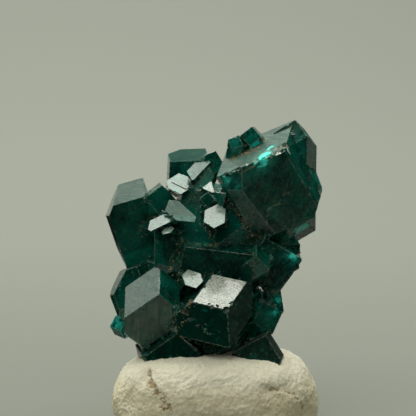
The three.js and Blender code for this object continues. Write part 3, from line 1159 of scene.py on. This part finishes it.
@dataclass
class Cluster:
    """The fused crystals, with growth steps and worn and chipped edges."""

    crystals: tuple[Crystal, ...] = CRYSTALS
    chips: Chips = Chips()
    chamfer: float = 0.06
    chamfer_share: float = 0.05
    step_chamfer: float = 0.02
    step_height: tuple[float, float] = (0.03, 0.11)
    step_inset: tuple[float, float] = (0.1, 0.75)
    flush_inset: float = 0.03
    flush_share: float = 0.72
    steps_per_mm: float = 1.5
    most_steps: int = 8
    seed: int = 11
    pattern_shift: float = 7.3
    refined_edge: float = 0.75
    lined_edge: float = 0.13
    line_reach: float = 0.25
    line_shake: float = 0.09
    joint_spacing: float = 0.25
    most_rounds: int = 10

    def bodies(self) -> Iterator[Mesh]:
        """Builds the crystals and their growth steps.

        Returns:
            Their meshes, one after another.
        """
        rng = np.random.default_rng(self.seed)
        for number, crystal in enumerate(self.crystals):
            tone, girth = float(rng.uniform()), crystal.girth()
            body, shift = crystal.body(), self.pattern_shift * number
            count = len(body.marks)
            chamfer = min(self.chamfer, self.chamfer_share * girth)
            yield from body.meshes(crystal.name, tone, chamfer, shift)
            for _ in range(min(self.most_steps, int(girth * self.steps_per_mm))):
                raised = int(rng.integers(0, count))
                reach = girth * rng.uniform(*self.step_inset, count)
                flush = rng.uniform(size=count) < self.flush_share
                offsets = body.offsets - np.where(flush, self.flush_inset, reach)
                offsets[raised] = body.offsets[raised] + float(rng.uniform(*self.step_height))
                terrace = replace(body, offsets=offsets)
                yield from terrace.meshes(crystal.name, tone, self.step_chamfer, shift)

    def refine(self, mesh: Mesh) -> None:
        """Splits long edges, and finer along the lines, so that stored numbers follow them.

        Args:
            mesh: The mesh, which is changed in place.
        """
        bm = opened(mesh)
        bmesh.ops.triangulate(bm, faces=list(bm.faces))
        for _ in range(self.most_rounds):
            edges = list(bm.edges)
            lengths = np.array([edge.calc_length() for edge in edges])
            middles = np.array([(edge.verts[0].co + edge.verts[1].co) / 2 for edge in edges])
            away = front_distance(middles, STAINED_VEINS + PALE_LINES)
            lined = away < self.line_reach + lengths / 2
            longest = np.where(lined, self.lined_edge, self.refined_edge)
            long = [edges[k] for k in np.flatnonzero(lengths > longest)]
            if not long:
                break
            bmesh.ops.subdivide_edges(bm, edges=long, cuts=1, use_grid_fill=False)
            bmesh.ops.triangulate(bm, faces=[f for f in bm.faces if len(f.verts) > 3])
        bm.to_mesh(mesh)
        bm.free()

    def store_attributes(self, mesh: Mesh, joints: np.ndarray) -> None:
        """Stores numbers that the finish reads: distances, thickness and the spots of painted
        light.

        Args:
            mesh: The fused mesh, refined.
            joints: Points along the lines where crystals meet.
        """
        places = vertex_places(mesh)
        tree = kdtree.KDTree(len(joints))
        for number, joint in enumerate(joints):
            tree.insert(joint, number)
        tree.balance()
        shake = self.line_shake * roughness_at(places, 1.8, 2, 4.0)
        glow = np.zeros(len(places))
        for at, reach, strength in PAINTED_GLOW_SPOTS:
            away = np.linalg.norm(places - np.array(at), axis=1) / reach
            glow = np.maximum(glow, strength * np.exp(-(away**2)))
        for name, numbers in {
            "crevice": np.array([tree.find(place)[2] for place in places]),
            "crack": front_distance(places, STAINED_VEINS) + shake,
            "pale_line": front_distance(places, PALE_LINES) + shake,
            "glow": glow,
            "thickness": self.thickness(mesh, places),
        }.items():
            store_numbers(mesh, name, numbers)

    def joint_points(self, mesh: Mesh) -> np.ndarray:
        """Finds the lines where two crystals meet in a hollow corner.

        Args:
            mesh: The fused mesh, before it is refined.

        Returns:
            Points along those lines, one row each.
        """
        bm = opened(mesh)
        tones = bm.faces.layers.float["tone"]
        found: list[np.ndarray] = []
        for edge in bm.edges:
            numbers = [face[tones] for face in edge.link_faces]
            if len(numbers) != 2 or edge.is_convex or abs(numbers[0] - numbers[1]) < ROUNDING:
                continue
            start, end = (np.array(vert.co) for vert in edge.verts)
            count = max(1, int(edge.calc_length() / self.joint_spacing))
            found += [start + (end - start) * (k + 0.5) / count for k in range(count)]
        bm.free()
        return np.array(found)

    @staticmethod
    def thickness(mesh: Mesh, places: np.ndarray, skin: float = 0.02) -> np.ndarray:
        """How much crystal lies behind each vertex, straight in from the surface.

        Args:
            mesh: The fused mesh.
            places: Its vertices' places, one row each.
            skin: How far in the measuring starts.

        Returns:
            One depth for each vertex.
        """
        mesh.calc_loop_triangles()
        corners = [tuple(triangle.vertices) for triangle in mesh.loop_triangles]
        tree = BVHTree.FromPolygons([Vector(place) for place in places], corners)
        depths = []
        for place, vertex in zip(places, mesh.vertices, strict=True):
            inward = -Vector(vertex.normal)
            depths.append(tree.ray_cast(Vector(place) + inward * skin, inward)[3] or 0.0)
        return np.array(depths)

    def build(self, bench: Workbench) -> Mesh:
        """Builds and dresses the cluster.

        Args:
            bench: Where the solids are joined.

        Returns:
            A copy of its mesh in millimetres, for what grows on it.
        """
        first, *rest = self.bodies()
        mesh = bench.combine(first, rest, Work.FUSE)
        joints = self.joint_points(mesh)
        mesh = bench.combine(mesh, list(self.chips.pebbles(mesh)), Work.CUT)
        self.refine(mesh)
        self.store_attributes(mesh, joints)
        host = mesh.copy()
        finished_piece("dioptase_cluster", mesh, DIOPTASE, Slot.DIOPTASE, ("dioptase_crystals",))
        return host


# Small growths


@dataclass(frozen=True)
class Growth:
    """Small bodies scattered by Geometry Nodes over a host mesh where a number allows."""

    name: str
    density: float
    seed: int
    size: tuple[float, float]
    upright: float

    def tree(self, grains: Collection, finish: Material) -> NodeTree:
        """Builds the node group that scatters the grains.

        Args:
            grains: The bodies that are scattered.
            finish: Their material.

        Returns:
            The node group, with the inputs Geometry, Density, Smallest and Largest.
        """
        tree = bpy.data.node_groups.new(self.name, "GeometryNodeTree")
        for label, kind, way in (
            ("Geometry", "Geometry", "INPUT"), ("Density", "Float", "INPUT"),
            ("Smallest", "Float", "INPUT"), ("Largest", "Float", "INPUT"),
            ("Geometry", "Geometry", "OUTPUT"),
        ):
            tree.interface.new_socket(label, in_out=way, socket_type=f"NodeSocket{kind}")
        graph = Graph(tree)
        given = graph.add("NodeGroupInput").outputs
        where = graph.value(
            "GeometryNodeInputNamedAttribute", {"data_type": "FLOAT"}, {0: "grow_here"}
        )
        points = graph.add(
            "GeometryNodeDistributePointsOnFaces", {"distribute_method": "RANDOM"},
            {"Mesh": given["Geometry"], "Density": where * given["Density"], "Seed": self.seed},
        )
        turned = graph.add(
            "FunctionNodeAlignRotationToVector", {"axis": "Z"},
            {"Vector": points.outputs["Normal"], "Factor": self.upright},
        )
        spin = graph.add(
            "FunctionNodeRandomValue", {"data_type": "FLOAT_VECTOR"},
            {0: (-0.5, -0.5, 0.0), 1: (0.5, 0.5, 6.28), "Seed": self.seed + 1},
        )
        rotated = graph.add(
            "FunctionNodeRotateRotation", {"rotation_space": "LOCAL"}, {0: turned, 1: spin}
        )
        scale = graph.value(
            "FunctionNodeRandomValue", {"data_type": "FLOAT"},
            {2: given["Smallest"], 3: given["Largest"], "Seed": self.seed + 2}, 1,
        )
        bodies = graph.add(
            "GeometryNodeCollectionInfo", {},
            {"Collection": grains, "Separate Children": True, "Reset Children": True},
        )
        placed = graph.add(
            "GeometryNodeInstanceOnPoints", {},
            {
                "Points": points, "Instance": bodies, "Pick Instance": True,
                "Rotation": rotated, "Scale": scale,
            },
        )
        real = graph.add("GeometryNodeRealizeInstances", {}, {0: placed})
        sockets = {"Geometry": real, "Material": finish}
        graph.add("NodeGroupOutput", {}, {0: graph.add("GeometryNodeSetMaterial", {}, sockets)})
        return tree

    def scatter(
        self, bench: Workbench, host: Mesh, where: np.ndarray, grains: Sequence[Mesh],
        finish: Finish,
    ) -> Mesh:
        """Scatters the grains over a host and gives them as one plain mesh.

        Args:
            bench: Where the work is done.
            host: The mesh that they sit on, in millimetres.
            where: A number for each of the host's vertices that multiplies the density.
            grains: The bodies, about 1 mm in size, standing on their origin.
            finish: Their finish.

        Returns:
            The scattered bodies' mesh, in millimetres.
        """
        ground = host.copy()
        store_numbers(ground, "grow_here", where)
        kinds = gathered(f"{self.name}_kinds", grains)
        worked = bench.place(ground)
        scatter = worked.modifiers.new("scatter", "NODES")
        scatter.node_group = self.tree(kinds, finish.material())
        chosen = {"Density": self.density, "Smallest": self.size[0], "Largest": self.size[1]}
        for item in scatter.node_group.interface.items_tree:
            if item.in_out == "INPUT" and item.name in chosen:
                scatter[item.identifier] = chosen[item.name]
        mesh = bench.plain(worked)
        worked.modifiers.remove(scatter)
        bpy.data.collections.remove(cleared(kinds))
        cleared(bench.holder)
        return mesh


def seed_bodies(seed: int, breaks: int) -> list[Mesh]:
    """Builds a few small crystals about 1 mm tall, standing on their origin.

    Args:
        seed: Where their unevenness begins.
        breaks: How many broken faces each has.

    Returns:
        Their meshes.
    """
    rng, middle = np.random.default_rng(seed), (0, 0, 0.4)
    made: list[Mesh] = []
    for number in range(5):
        sides = tuple(float(side) for side in rng.uniform(0.3, 0.48, PRISM_FACES))
        cuts = tuple(
            Cut(rng.uniform(0, 360), rng.uniform(-20, 70), tuple(rng.normal(0, 0.12, 3) + middle))
            for _ in range(breaks)
        )
        crystal = Crystal(f"seed_{number}", (0.0, 0.0, 0.8), 0, 90, 0, sides, 1.5, cuts)
        made += crystal.body().meshes(crystal.name, 0.9, 0.02, number)
    return made


def crumb_bodies(seed: int) -> list[Mesh]:
    """Builds a few uneven crumbs about 1 mm wide."""
    rng, at = np.random.default_rng(seed), np.array([0, 0, 0.1])
    return [Chips.pebble(f"crumb_{number}", at, 0.4, rng) for number in range(4)]


@dataclass
class SmallGrowths:
    """The seed crystals, broken bits and stained crumbs that sit on the cluster."""

    seeds: Growth = Growth("seed_crystals", 0.5, 21, (0.2, 0.65), 1.0)
    seed_reach: float = 0.7
    bits: Growth = Growth("broken_bits", 7.0, 61, (0.2, 0.8), 0.5)
    bits_reach: float = 0.45
    bits_room: Point = (8, 2, 30)
    crumbs: Growth = Growth("stained_crumbs", 30.0, 41, (0.06, 0.24), 0.4)
    crumbs_reach: float = 0.15
    trail_width: float = 0.3
    putty_top: float = 10.5
    stain: IronStainFinish = IronStainFinish("iron_stain")

    def bare(self, host: Mesh) -> np.ndarray:
        """Finds where seeds may sit: off the faces made pale by frosting and painted highlight.

        Args:
            host: The cluster's mesh, in millimetres.

        Returns:
            1 or 0 for each vertex.
        """
        bare = np.ones(len(host.vertices))
        pale = stored_numbers(host, "frost") > 0.02
        for polygon in host.polygons:
            if pale[polygon.index]:
                bare[list(polygon.vertices)] = 0
        return bare

    def build(self, bench: Workbench, host: Mesh) -> None:
        """Scatters them over the cluster.

        Args:
            bench: Where the work is done.
            host: The cluster's mesh, in millimetres.
        """
        places = vertex_places(host)
        rough = roughness_at(places, 0.35, 2, 8.0)
        crevice, crack = stored_numbers(host, "crevice"), front_distance(places, CRUMB_TRAILS)
        outside = (places[:, 2] > self.putty_top).astype(float)
        room = np.column_stack([np.abs(places[:, 0]), places[:, 1:]]) < self.bits_room
        seeded = np.clip(2.5 * rough, 0, 1)
        broken = np.clip(3 * rough + 0.25, 0, 1) * room.all(axis=1) * (crevice < self.bits_reach)
        plain = {"crevice": 9.0, "crack": 9.0, "pale_line": 9.0, "thickness": 0.8, "glow": 0.3}
        for growth, where, bodies in (
            (self.seeds, seeded * (crevice < self.seed_reach), seed_bodies(3, 0)),
            (self.bits, broken, seed_bodies(6, 3)),
        ):
            allowed = outside * self.bare(host) * where
            mesh = growth.scatter(bench, host, allowed, bodies, DIOPTASE)
            for name, number in plain.items():
                store_numbers(mesh, name, np.full(len(mesh.vertices), number))
            finished_piece(growth.name, mesh, DIOPTASE, Slot.DIOPTASE)
        dusty = 0.12 * seeded * (crevice < self.crumbs_reach)
        allowed = outside * (np.clip(1 - crack / self.trail_width, 0, 1) + dusty)
        mesh = self.crumbs.scatter(bench, host, allowed, crumb_bodies(4), self.stain)
        finished_piece(self.crumbs.name, mesh, self.stain, Slot.DIOPTASE)


# Putty


@dataclass(frozen=True)
class Dent:
    """A hollow in the putty: its middle, its reach and its depth."""

    at: Point
    reach: float
    depth: float


@dataclass(frozen=True)
class Groove:
    """A torn groove in the putty: its line, its reach and depth, and how dirty it is."""

    line: tuple[Point, ...]
    reach: float
    depth: float
    dirt: float


@dataclass(frozen=True)
class PuttyFinish(Finish):
    """Cream-white mineral putty, matt, with grey and rusty specks, and a top painted paler as
    painted light.
    """

    cream: Colour = (0.73, 0.655, 0.45, 1.0)
    pale: Colour = (0.93, 0.87, 0.69, 1.0)
    brown: Colour = (0.44, 0.29, 0.12, 1.0)
    grey: Colour = (0.16, 0.15, 0.12, 1.0)
    rust: Colour = (0.50, 0.26, 0.09, 1.0)

    def build(self, graph: Graph) -> dict[str, Node]:
        """Adds the finish's nodes.

        Args:
            graph: The material's tree.

        Returns:
            What goes to each socket of the output.
        """
        grain = graph.noise(6.0, 4.0)
        # Painted light: the top of the lump is painted paler, as if it caught more light.
        top = graph.along("Z").step(0.0055, 0.0088)
        spread = graph.noise(0.6, 2.0)
        specks = graph.cells(1.9).step(0.13, 0.07) * spread.step(0.48, 0.56)
        rusty = graph.cells(1.45).step(0.12, 0.06) * spread.step(0.5, 0.42)
        colour = graph.painted(
            self.cream,
            ((0.5 * graph.noise(0.35, 4.0).step(0.35, 0.65)).most(top), self.pale),
            (0.25 * grain.step(0.55, 0.75), self.brown),
            (0.85 * specks, self.grey),
            (0.7 * rusty, self.rust),
            (0.85 * graph.attribute("stain"), self.brown),
        )
        relief = graph.relief(
            (graph.noise(2.2, 5.0), 0.2, 0.4),
            (graph.noise(1.0, 4.0, None, (0.5, 0.5, 3.2), 0.8), 0.16, 0.5),
            (grain, 0.08, 0.8),
            (graph.cells(3.1).step(0.0, 0.2), 0.03, 0.4),
        )
        more = {"IOR": 1.45, "Normal": relief}
        return {"Surface": graph.principled(colour, 0.62 + 0.25 * grain, more)}


@dataclass
class PuttyLump:
    """The lump of putty, pressed flat underneath, with finger ridges, pits and a crack.

    The profile gives shares of the half width and heights, and the stretches how many steps lie
    between two of its points. A swell is a size, how many there are round the lump, and how far
    they are turned: by themselves, and for each millimetre of height.
    """

    width: float = 25.2
    depth: float = 24.0
    middle: tuple[float, float] = (0.7, -1.0)
    squareness: float = 2.4
    gap: float = 0.05
    around: int = 560
    seed: float = 3.7
    profile: tuple[tuple[float, float], ...] = (
        (0, 0), (0.4, 0), (0.84, 0), (0.93, 0.8), (0.98, 2.4), (1, 4.2), (0.99, 5.6), (0.955, 6.9),
        (0.9, 8.1), (0.83, 8.9), (0.74, 9.5), (0.62, 9.8), (0.45, 10), (0.2, 10), (0, 10),
    )
    stretches: tuple[int, ...] = (3, 3, 6, 10, 12, 10, 10, 10, 8, 8, 8, 7, 5, 4)
    swells: tuple[tuple[float, float, float, float], ...] = (
        (0.02, 2, 0.6, 0), (0.018, 3, 2, 0), (0.012, 5, 0, 0.7), (0.006, 9, 0, -1),
    )
    dents: tuple[Dent, ...] = (
        Dent((-7.4, -9.6, 8.3), 1, 0.8),
        Dent((-5.9, -11.2, 6), 1.3, 0.5),
        Dent((7.4, -10.4, 7.2), 0.9, 0.5),
        Dent((9.4, -8.8, 6.8), 0.9, 0.5),
        Dent((11, -7, 5), 1.1, 0.4),
        Dent((1, -12.8, 2.6), 2.6, 0.5),
        Dent((-11.4, 2, 6.5), 2.4, 0.7),
        Dent((4, 9.4, 5.5), 3, 0.7),
        Dent((-10, -3, 9), 2.4, 0.35),
        Dent((-3.5, -9.5, 9.6), 4, -0.5),
    )
    grooves: tuple[Groove, ...] = (
        Groove(((-7.4, -9.5, 9), (-7, -9.9, 8.5)), 0.34, 0.35, 1.0),
        Groove(((-7.2, -10.1, 8.2), (-6.6, -10.7, 7.7)), 0.42, 0.4, 1.0),
        Groove(((-5.9, -11.7, 6.7), (-5.5, -11.9, 6.2), (-4.8, -12.4, 5.6)), 0.36, 0.35, 1.0),
        Groove(((-5.5, -12, 5.6), (-5, -12.3, 5)), 0.2, 0.2, 0.9),
        Groove(((7, -10.5, 7.1), (8.8, -9.9, 7), (10.4, -9.1, 6.3), (11.6, -7.9, 4.2)),
               0.16, 0.3, 0.7),
        Groove(((0.8, -12.3, 7.4), (1.9, -11.7, 8.1), (3.3, -11.2, 8.6), (4.6, -10.1, 9.5)),
               0.14, 0.12, 0.0),
        Groove(((-3.2, -12.1, 8.3), (-2.1, -11.9, 8.9), (-1.1, -11.1, 9.6)), 0.14, 0.12, 0.0),
        Groove(((-10.6, -8.2, 4.9), (-9.7, -9.2, 5.9), (-8.9, -9.5, 7.1)), 0.15, 0.12, 0.1),
    )
    ridge_middle: Point = (-11, -9, 2)
    ridge_reach: float = 6.5
    ridge_pitch: float = 0.47
    ridge_height: float = 0.06

    def rows(self) -> np.ndarray:
        """Draws the profile in fine steps.

        Returns:
            A share of the half width and a height, one row each.
        """
        points = np.array(self.profile, float)
        padded = np.vstack([points[:1], points, points[-1:]])
        fine: list[np.ndarray] = []
        for k, count in enumerate(self.stretches):
            before, start, end, after = padded[k:k + 4]
            for t in np.arange(count) / count:
                curve = 2 * start + (end - before) * t
                curve += (2 * before - 5 * start + 4 * end - after) * t**2
                curve += (3 * start - 3 * end + after - before) * t**3
                fine.append(curve / 2)
        rows = np.array(fine[1:])
        rows[:, 1] = np.maximum(rows[:, 1], 0)
        return rows

    def turns(self) -> np.ndarray:
        """Sets out the angles round the lump, closer together in front.

        Returns:
            The angles, in radians.
        """
        even = np.linspace(-math.pi / 2, 1.5 * math.pi, 2001)
        density = 1 + 1.6 * np.exp(-((np.cos(even + math.pi / 2) - 1) ** 2) / 0.5)
        share = np.concatenate([[0], np.cumsum((density[1:] + density[:-1]) / 2)])
        return np.interp(np.arange(self.around) / self.around, share / share[-1], even)

    def grid(self) -> np.ndarray:
        """Builds the lump's surface before its dents and relief.

        Returns:
            A point for each row and angle.
        """
        rows, angle = self.rows(), self.turns()[None, :]
        share, height = rows[:, 0:1], rows[:, 1:2]
        swell = 1 + np.minimum(1, height / 2) * sum(
            size * np.sin(count * angle + turn + twist * height)
            for size, count, turn, twist in self.swells
        )
        tilt = 0.08 * np.sin(angle + 2.97) * share + 0.012 * np.sin(7 * angle) * share**2
        flat = [
            middle + np.sign(way) * np.abs(way) ** (2 / self.squareness) * share * swell * size / 2
            for middle, way, size in zip(
                self.middle, (np.cos(angle), np.sin(angle)), (self.width, self.depth), strict=True
            )
        ]
        return np.stack([*flat, height * (1 + tilt)], axis=-1)

    def dented(self, points: np.ndarray) -> np.ndarray:
        """Presses the dents in, apart from where the points lie on the flat underside.

        Args:
            points: The surface's points, one row each.

        Returns:
            The moved points.
        """
        raised = points[:, 2:3] > ROUNDING
        inward = np.array([*self.middle, 5.0]) - points
        inward /= np.linalg.norm(inward, axis=1)[:, None]
        moved = points.copy()
        for dent in self.dents:
            away = np.linalg.norm(moved - np.array(dent.at), axis=1)[:, None] / dent.reach
            moved = moved + np.where(raised, inward * dent.depth * np.exp(-(away**2)), 0)
        return moved

    def relief(self, points: np.ndarray) -> tuple[np.ndarray, np.ndarray]:
        """The fine relief along the normals, and where dirt has gathered.

        Args:
            points: The surface's points, one row each.

        Returns:
            The relief in millimetres, and the dirt from 0 to 1.
        """
        lumps = roughness_at(points, 0.22, 2, self.seed)
        rough = roughness_at(points, 0.9, 4, self.seed + 1)
        fine = roughness_at(points, 3.0, 3, self.seed + 2)
        height = 0.18 * lumps + 0.12 * rough + 0.08 * fine
        away = np.linalg.norm(points - np.array(self.ridge_middle), axis=1)
        wave = np.sin(2 * math.pi * (away + 0.35 * lumps + 0.12 * rough) / self.ridge_pitch)
        fade = np.clip(1.6 * (1 - away / self.ridge_reach), 0, 1) * np.clip(away - 1, 0, 1)
        height += self.ridge_height * wave * fade * np.clip(0.8 + 0.8 * rough, 0, 1)
        dirt = np.zeros(len(points))
        for groove in self.grooves:
            away = distance_to_line(points, np.array(groove.line)) / groove.reach
            hollow = np.clip(1.2 - away + 2.4 * rough + 1.2 * fine, 0, 1) * (away < 2.6)
            height -= groove.depth * hollow
            dirt = np.maximum(dirt, groove.dirt * np.clip(hollow * 1.4 + fine, 0, 1) * hollow)
        return height, dirt

    def lump(self) -> Mesh:
        """Builds the whole lump, before the crystals' socket is cut.

        Returns:
            Its mesh.
        """
        grid = self.grid()
        points = self.dented(grid.reshape(-1, 3)).reshape(grid.shape)
        round_way = np.roll(points, -1, axis=1) - np.roll(points, 1, axis=1)
        normals = np.cross(round_way, np.gradient(points, axis=0))
        normals /= np.maximum(np.linalg.norm(normals, axis=2), 1e-9)[..., None]
        flat = points.reshape(-1, 3)
        height, dirt = self.relief(flat)
        lift = height * np.clip(flat[:, 2] / 0.6, 0, 1)
        flat = flat + normals.reshape(-1, 3) * lift[:, None]
        flat[:, 2] = np.maximum(flat[:, 2], 0)
        low, top, count = len(flat), len(flat) - self.around, self.around
        ends = [[*self.middle, 0.0], flat[top:].mean(axis=0)]
        faces: list[tuple[int, ...]] = []
        for i in range(count):
            j = (i + 1) % count
            faces.append((low, j, i))
            faces += [(a + i, a + j, a + count + j, a + count + i) for a in range(0, top, count)]
            faces.append((top + i, top + j, low + 1))
        mesh = patched("putty_lump", np.vstack([flat, ends]).tolist(), faces)
        store_numbers(mesh, "stain", np.append(dirt, [0, 0]))
        return mesh

    def build(self, bench: Workbench, crystals: Sequence[Crystal]) -> Object:
        """Builds the lump with the crystals' socket in it.

        Args:
            bench: Where the socket is cut.
            crystals: The crystals that stand in it.

        Returns:
            The piece.
        """
        pressed = [
            mesh for crystal in crystals
            for mesh in crystal.body(self.gap).meshes(crystal.name, 0.0, 0.01, 0.0)
        ]
        mesh = bench.combine(self.lump(), pressed, Work.CUT)
        mesh.shade_smooth()
        finish = PuttyFinish("mineral_putty")
        return finished_piece("putty_lump", mesh, finish, Slot.PUTTY, ("mounting_putty",))


# Stage


@dataclass(frozen=True)
class PaperFinish(Finish):
    """Plain pale paper, its colour painted darker towards the front as painted shade."""

    pale: Colour = (0.285, 0.292, 0.262, 1.0)
    painted_front_shade: Colour = (0.228, 0.233, 0.206, 1.0)

    def build(self, graph: Graph) -> dict[str, Node]:
        """Adds the finish's nodes.

        Args:
            graph: The material's tree.

        Returns:
            What goes to each socket of the output.
        """
        # Painted shade: the paper's colour darkens towards the front.
        share = graph.along("Y").step(0.0, 0.34) + 0.06 * graph.noise(0.02, 2.0)
        colour = graph.painted(self.painted_front_shade, (share, self.pale))
        return {"Surface": graph.principled(colour, 1.0, {"Specular IOR Level": 0.0})}


@dataclass(frozen=True)
class ClothFinish(Finish):
    """Dull dark cloth."""

    shade: float = 0.004

    def build(self, graph: Graph) -> dict[str, Node]:
        """Adds the nodes, and gives what goes to each socket of the output."""
        grey = (self.shade, self.shade, self.shade, 1.0)
        return {"Surface": graph.add("ShaderNodeBsdfDiffuse", {}, {"Color": grey})}


@dataclass(frozen=True)
class SoftBox:
    """A square soft light that faces the specimen."""

    name: str
    direction: Point
    distance: float
    size: float
    radiance: float
    target: Point = (0.0, 0.0, 0.028)
    colour: tuple[float, float, float] = (0.97, 1.0, 0.93)
    mirrored: bool = True

    def build(self) -> Object:
        """Hangs the light, facing its target.

        Returns:
            The light.
        """
        data = bpy.data.lights.new(self.name, "AREA")
        data.shape = "SQUARE"
        data.size = self.size
        data.energy = self.radiance * math.pi * self.size**2
        data.color = self.colour
        light = shown(self.name, data)
        way = Vector(self.direction).normalized()
        light.location = Vector(self.target) + way * self.distance
        light.rotation_mode = "QUATERNION"
        light.rotation_quaternion = way.to_track_quat("Z", "Y")
        light.visible_camera = False
        light.visible_glossy = light.visible_transmission = self.mirrored
        return light


@dataclass
class Studio:
    """The pale sweep that the specimen stands on, the lights and the camera. In metres."""

    aim: Point = (0.0, 0.0, 0.028)
    elevation: float = 6.0
    camera_distance: float = 0.212
    half_frame: float = 0.026
    sensor: float = 36.0
    sweep_front: float = -2.5
    sweep_bend: float = 0.22
    sweep_radius: float = 0.25
    sweep_height: float = 1.6
    sweep_half_width: float = 3.0
    sweep_steps: int = 24
    lights: tuple[SoftBox, ...] = (
        SoftBox("key_box", (0.0, 0.379, 0.925), 0.30, 0.22, 2.8),
        SoftBox("wide_box", (-0.35, 0.5, 0.79), 0.55, 0.62, 1.9),
        SoftBox("back_box", (-0.15, 0.84, 0.48), 0.50, 0.30, 1.3),
        SoftBox("front_box", (-0.25, -0.48, 0.84), 0.45, 0.32, 2.4, mirrored=False),
        SoftBox("rear_box", (0.3, -0.45, 0.84), 0.45, 0.4, 1.35, (0.0, 0.38, 0.0), mirrored=False),
    )
    air: Colour = (0.26, 0.27, 0.24, 1.0)

    def sweep(self) -> Object:
        """Builds the floor that curves up behind the specimen.

        Returns:
            The floor.
        """
        line = [(self.sweep_front, 0.0)]
        for k in range(self.sweep_steps + 1):
            turn = math.radians(90 * k / self.sweep_steps)
            out = self.sweep_bend + self.sweep_radius * math.sin(turn)
            line.append((out, self.sweep_radius * (1 - math.cos(turn))))
        line.append((line[-1][0], self.sweep_height))
        verts = [(side * self.sweep_half_width, y, z) for y, z in line for side in (-1, 1)]
        faces = [(2 * k, 2 * k + 1, 2 * k + 3, 2 * k + 2) for k in range(len(line) - 1)]
        mesh = patched("paper_sweep", verts, faces)
        mesh.shade_smooth()
        mesh.materials.append(PaperFinish("pale_paper").material())
        paper = shown("paper_sweep", mesh)
        paper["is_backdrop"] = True
        return paper

    @staticmethod
    def cloth(name: str, verts: list[Point], shade: float, darkens: bool) -> Object:
        """Hangs black cloth outside the picture, in four-cornered pieces.

        Args:
            name: The cloth's name.
            verts: The corners, four for each piece.
            shade: How much light it gives back.
            darkens: Whether matt surfaces feel it as well as mirror-like ones.

        Returns:
            The cloth.
        """
        mesh = patched(name, verts, [tuple(range(k, k + 4)) for k in range(0, len(verts), 4)])
        mesh.materials.append(ClothFinish(name, shade).material())
        cloth = shown(name, mesh)
        cloth.visible_diffuse = darkens
        cloth.visible_camera = cloth.visible_shadow = cloth.visible_volume_scatter = False
        cloth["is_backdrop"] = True
        return cloth

    def cloths(self) -> None:
        """Lays cloth before and beside the specimen, and hangs it in front and at both sides."""
        floor, side, near, far, top = 0.001, 0.8, -0.042, -0.9, 1.2
        laid = [(-side, near, floor), (side, near, floor), (side, far, floor), (-side, far, floor)]
        self.cloth("front_cloth", laid, 0.015, True)
        laid = []
        for start, end in ((-0.5, -0.027), (0.027, 0.11)):
            laid += [(start, near, floor), (start, 0.3, floor), (end, 0.3, floor)]
            laid.append((end, near, floor))
        self.cloth("side_cloth", laid, 0.004, False)
        hung = [(-side, far, floor), (side, far, floor), (side, far, top), (-side, far, top)]
        for x, start, end, low, high in (
            (0.2, -0.3, 0.42, 0.03, 0.5), (-0.2, -0.4, 0.08, floor, 0.25)
        ):
            hung += [(x, start, low), (x, end, low), (x, end, high), (x, start, high)]
        self.cloth("hung_cloth", hung, 0.004, False)

    def camera(self) -> Object:
        """Sets up the camera at the photograph's viewing angle.

        Returns:
            The camera.
        """
        data = bpy.data.cameras.new("camera")
        data.sensor_width = self.sensor
        data.lens = self.sensor / 2 * self.camera_distance / self.half_frame
        data.clip_start, data.clip_end = 0.01, 10.0
        camera = shown("camera", data)
        lift = math.radians(self.elevation)
        back = Vector((0.0, -math.cos(lift), math.sin(lift)))
        camera.location = Vector(self.aim) + back * self.camera_distance
        camera.rotation_mode = "QUATERNION"
        camera.rotation_quaternion = (-back).to_track_quat("-Z", "Y")
        bpy.context.scene.camera = camera
        return camera

    def build(self) -> None:
        """Builds the stage."""
        self.sweep()
        self.cloths()
        for light in self.lights:
            light.build()
        world = bpy.data.worlds.new("room")
        world.use_nodes = True
        graph = Graph(world.node_tree)
        air = graph.add("ShaderNodeBackground", {}, {"Color": self.air, "Strength": 1.0})
        graph.add("ShaderNodeOutputWorld", {}, {"Surface": air})
        bpy.context.scene.world = world
        bpy.context.scene.view_settings.view_transform = "Standard"
        self.camera()
        LOG.info("stage: sweep, cloths, %d lights and camera", len(self.lights))


def write_sizes() -> None:
    """Works out the CAD model's box and the visual model's box as plain lists."""
    boxes = {"cad": CAD_BOX, "visual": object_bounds()}
    plain = {name: [list(corner) for corner in box] for name, box in boxes.items()}


def main() -> None:
    """Builds the specimen and its stage, in order."""
    logging.basicConfig(level=logging.INFO, format="%(name)s: %(message)s")
    bench = Workbench()
    host = Cluster().build(bench)
    SmallGrowths().build(bench, host)
    bpy.data.meshes.remove(host)
    PuttyLump().build(bench, CRYSTALS)
    bpy.data.collections.remove(bench.holder)
    Studio().build()
    write_sizes()


if __name__ == "__main__":
    main()
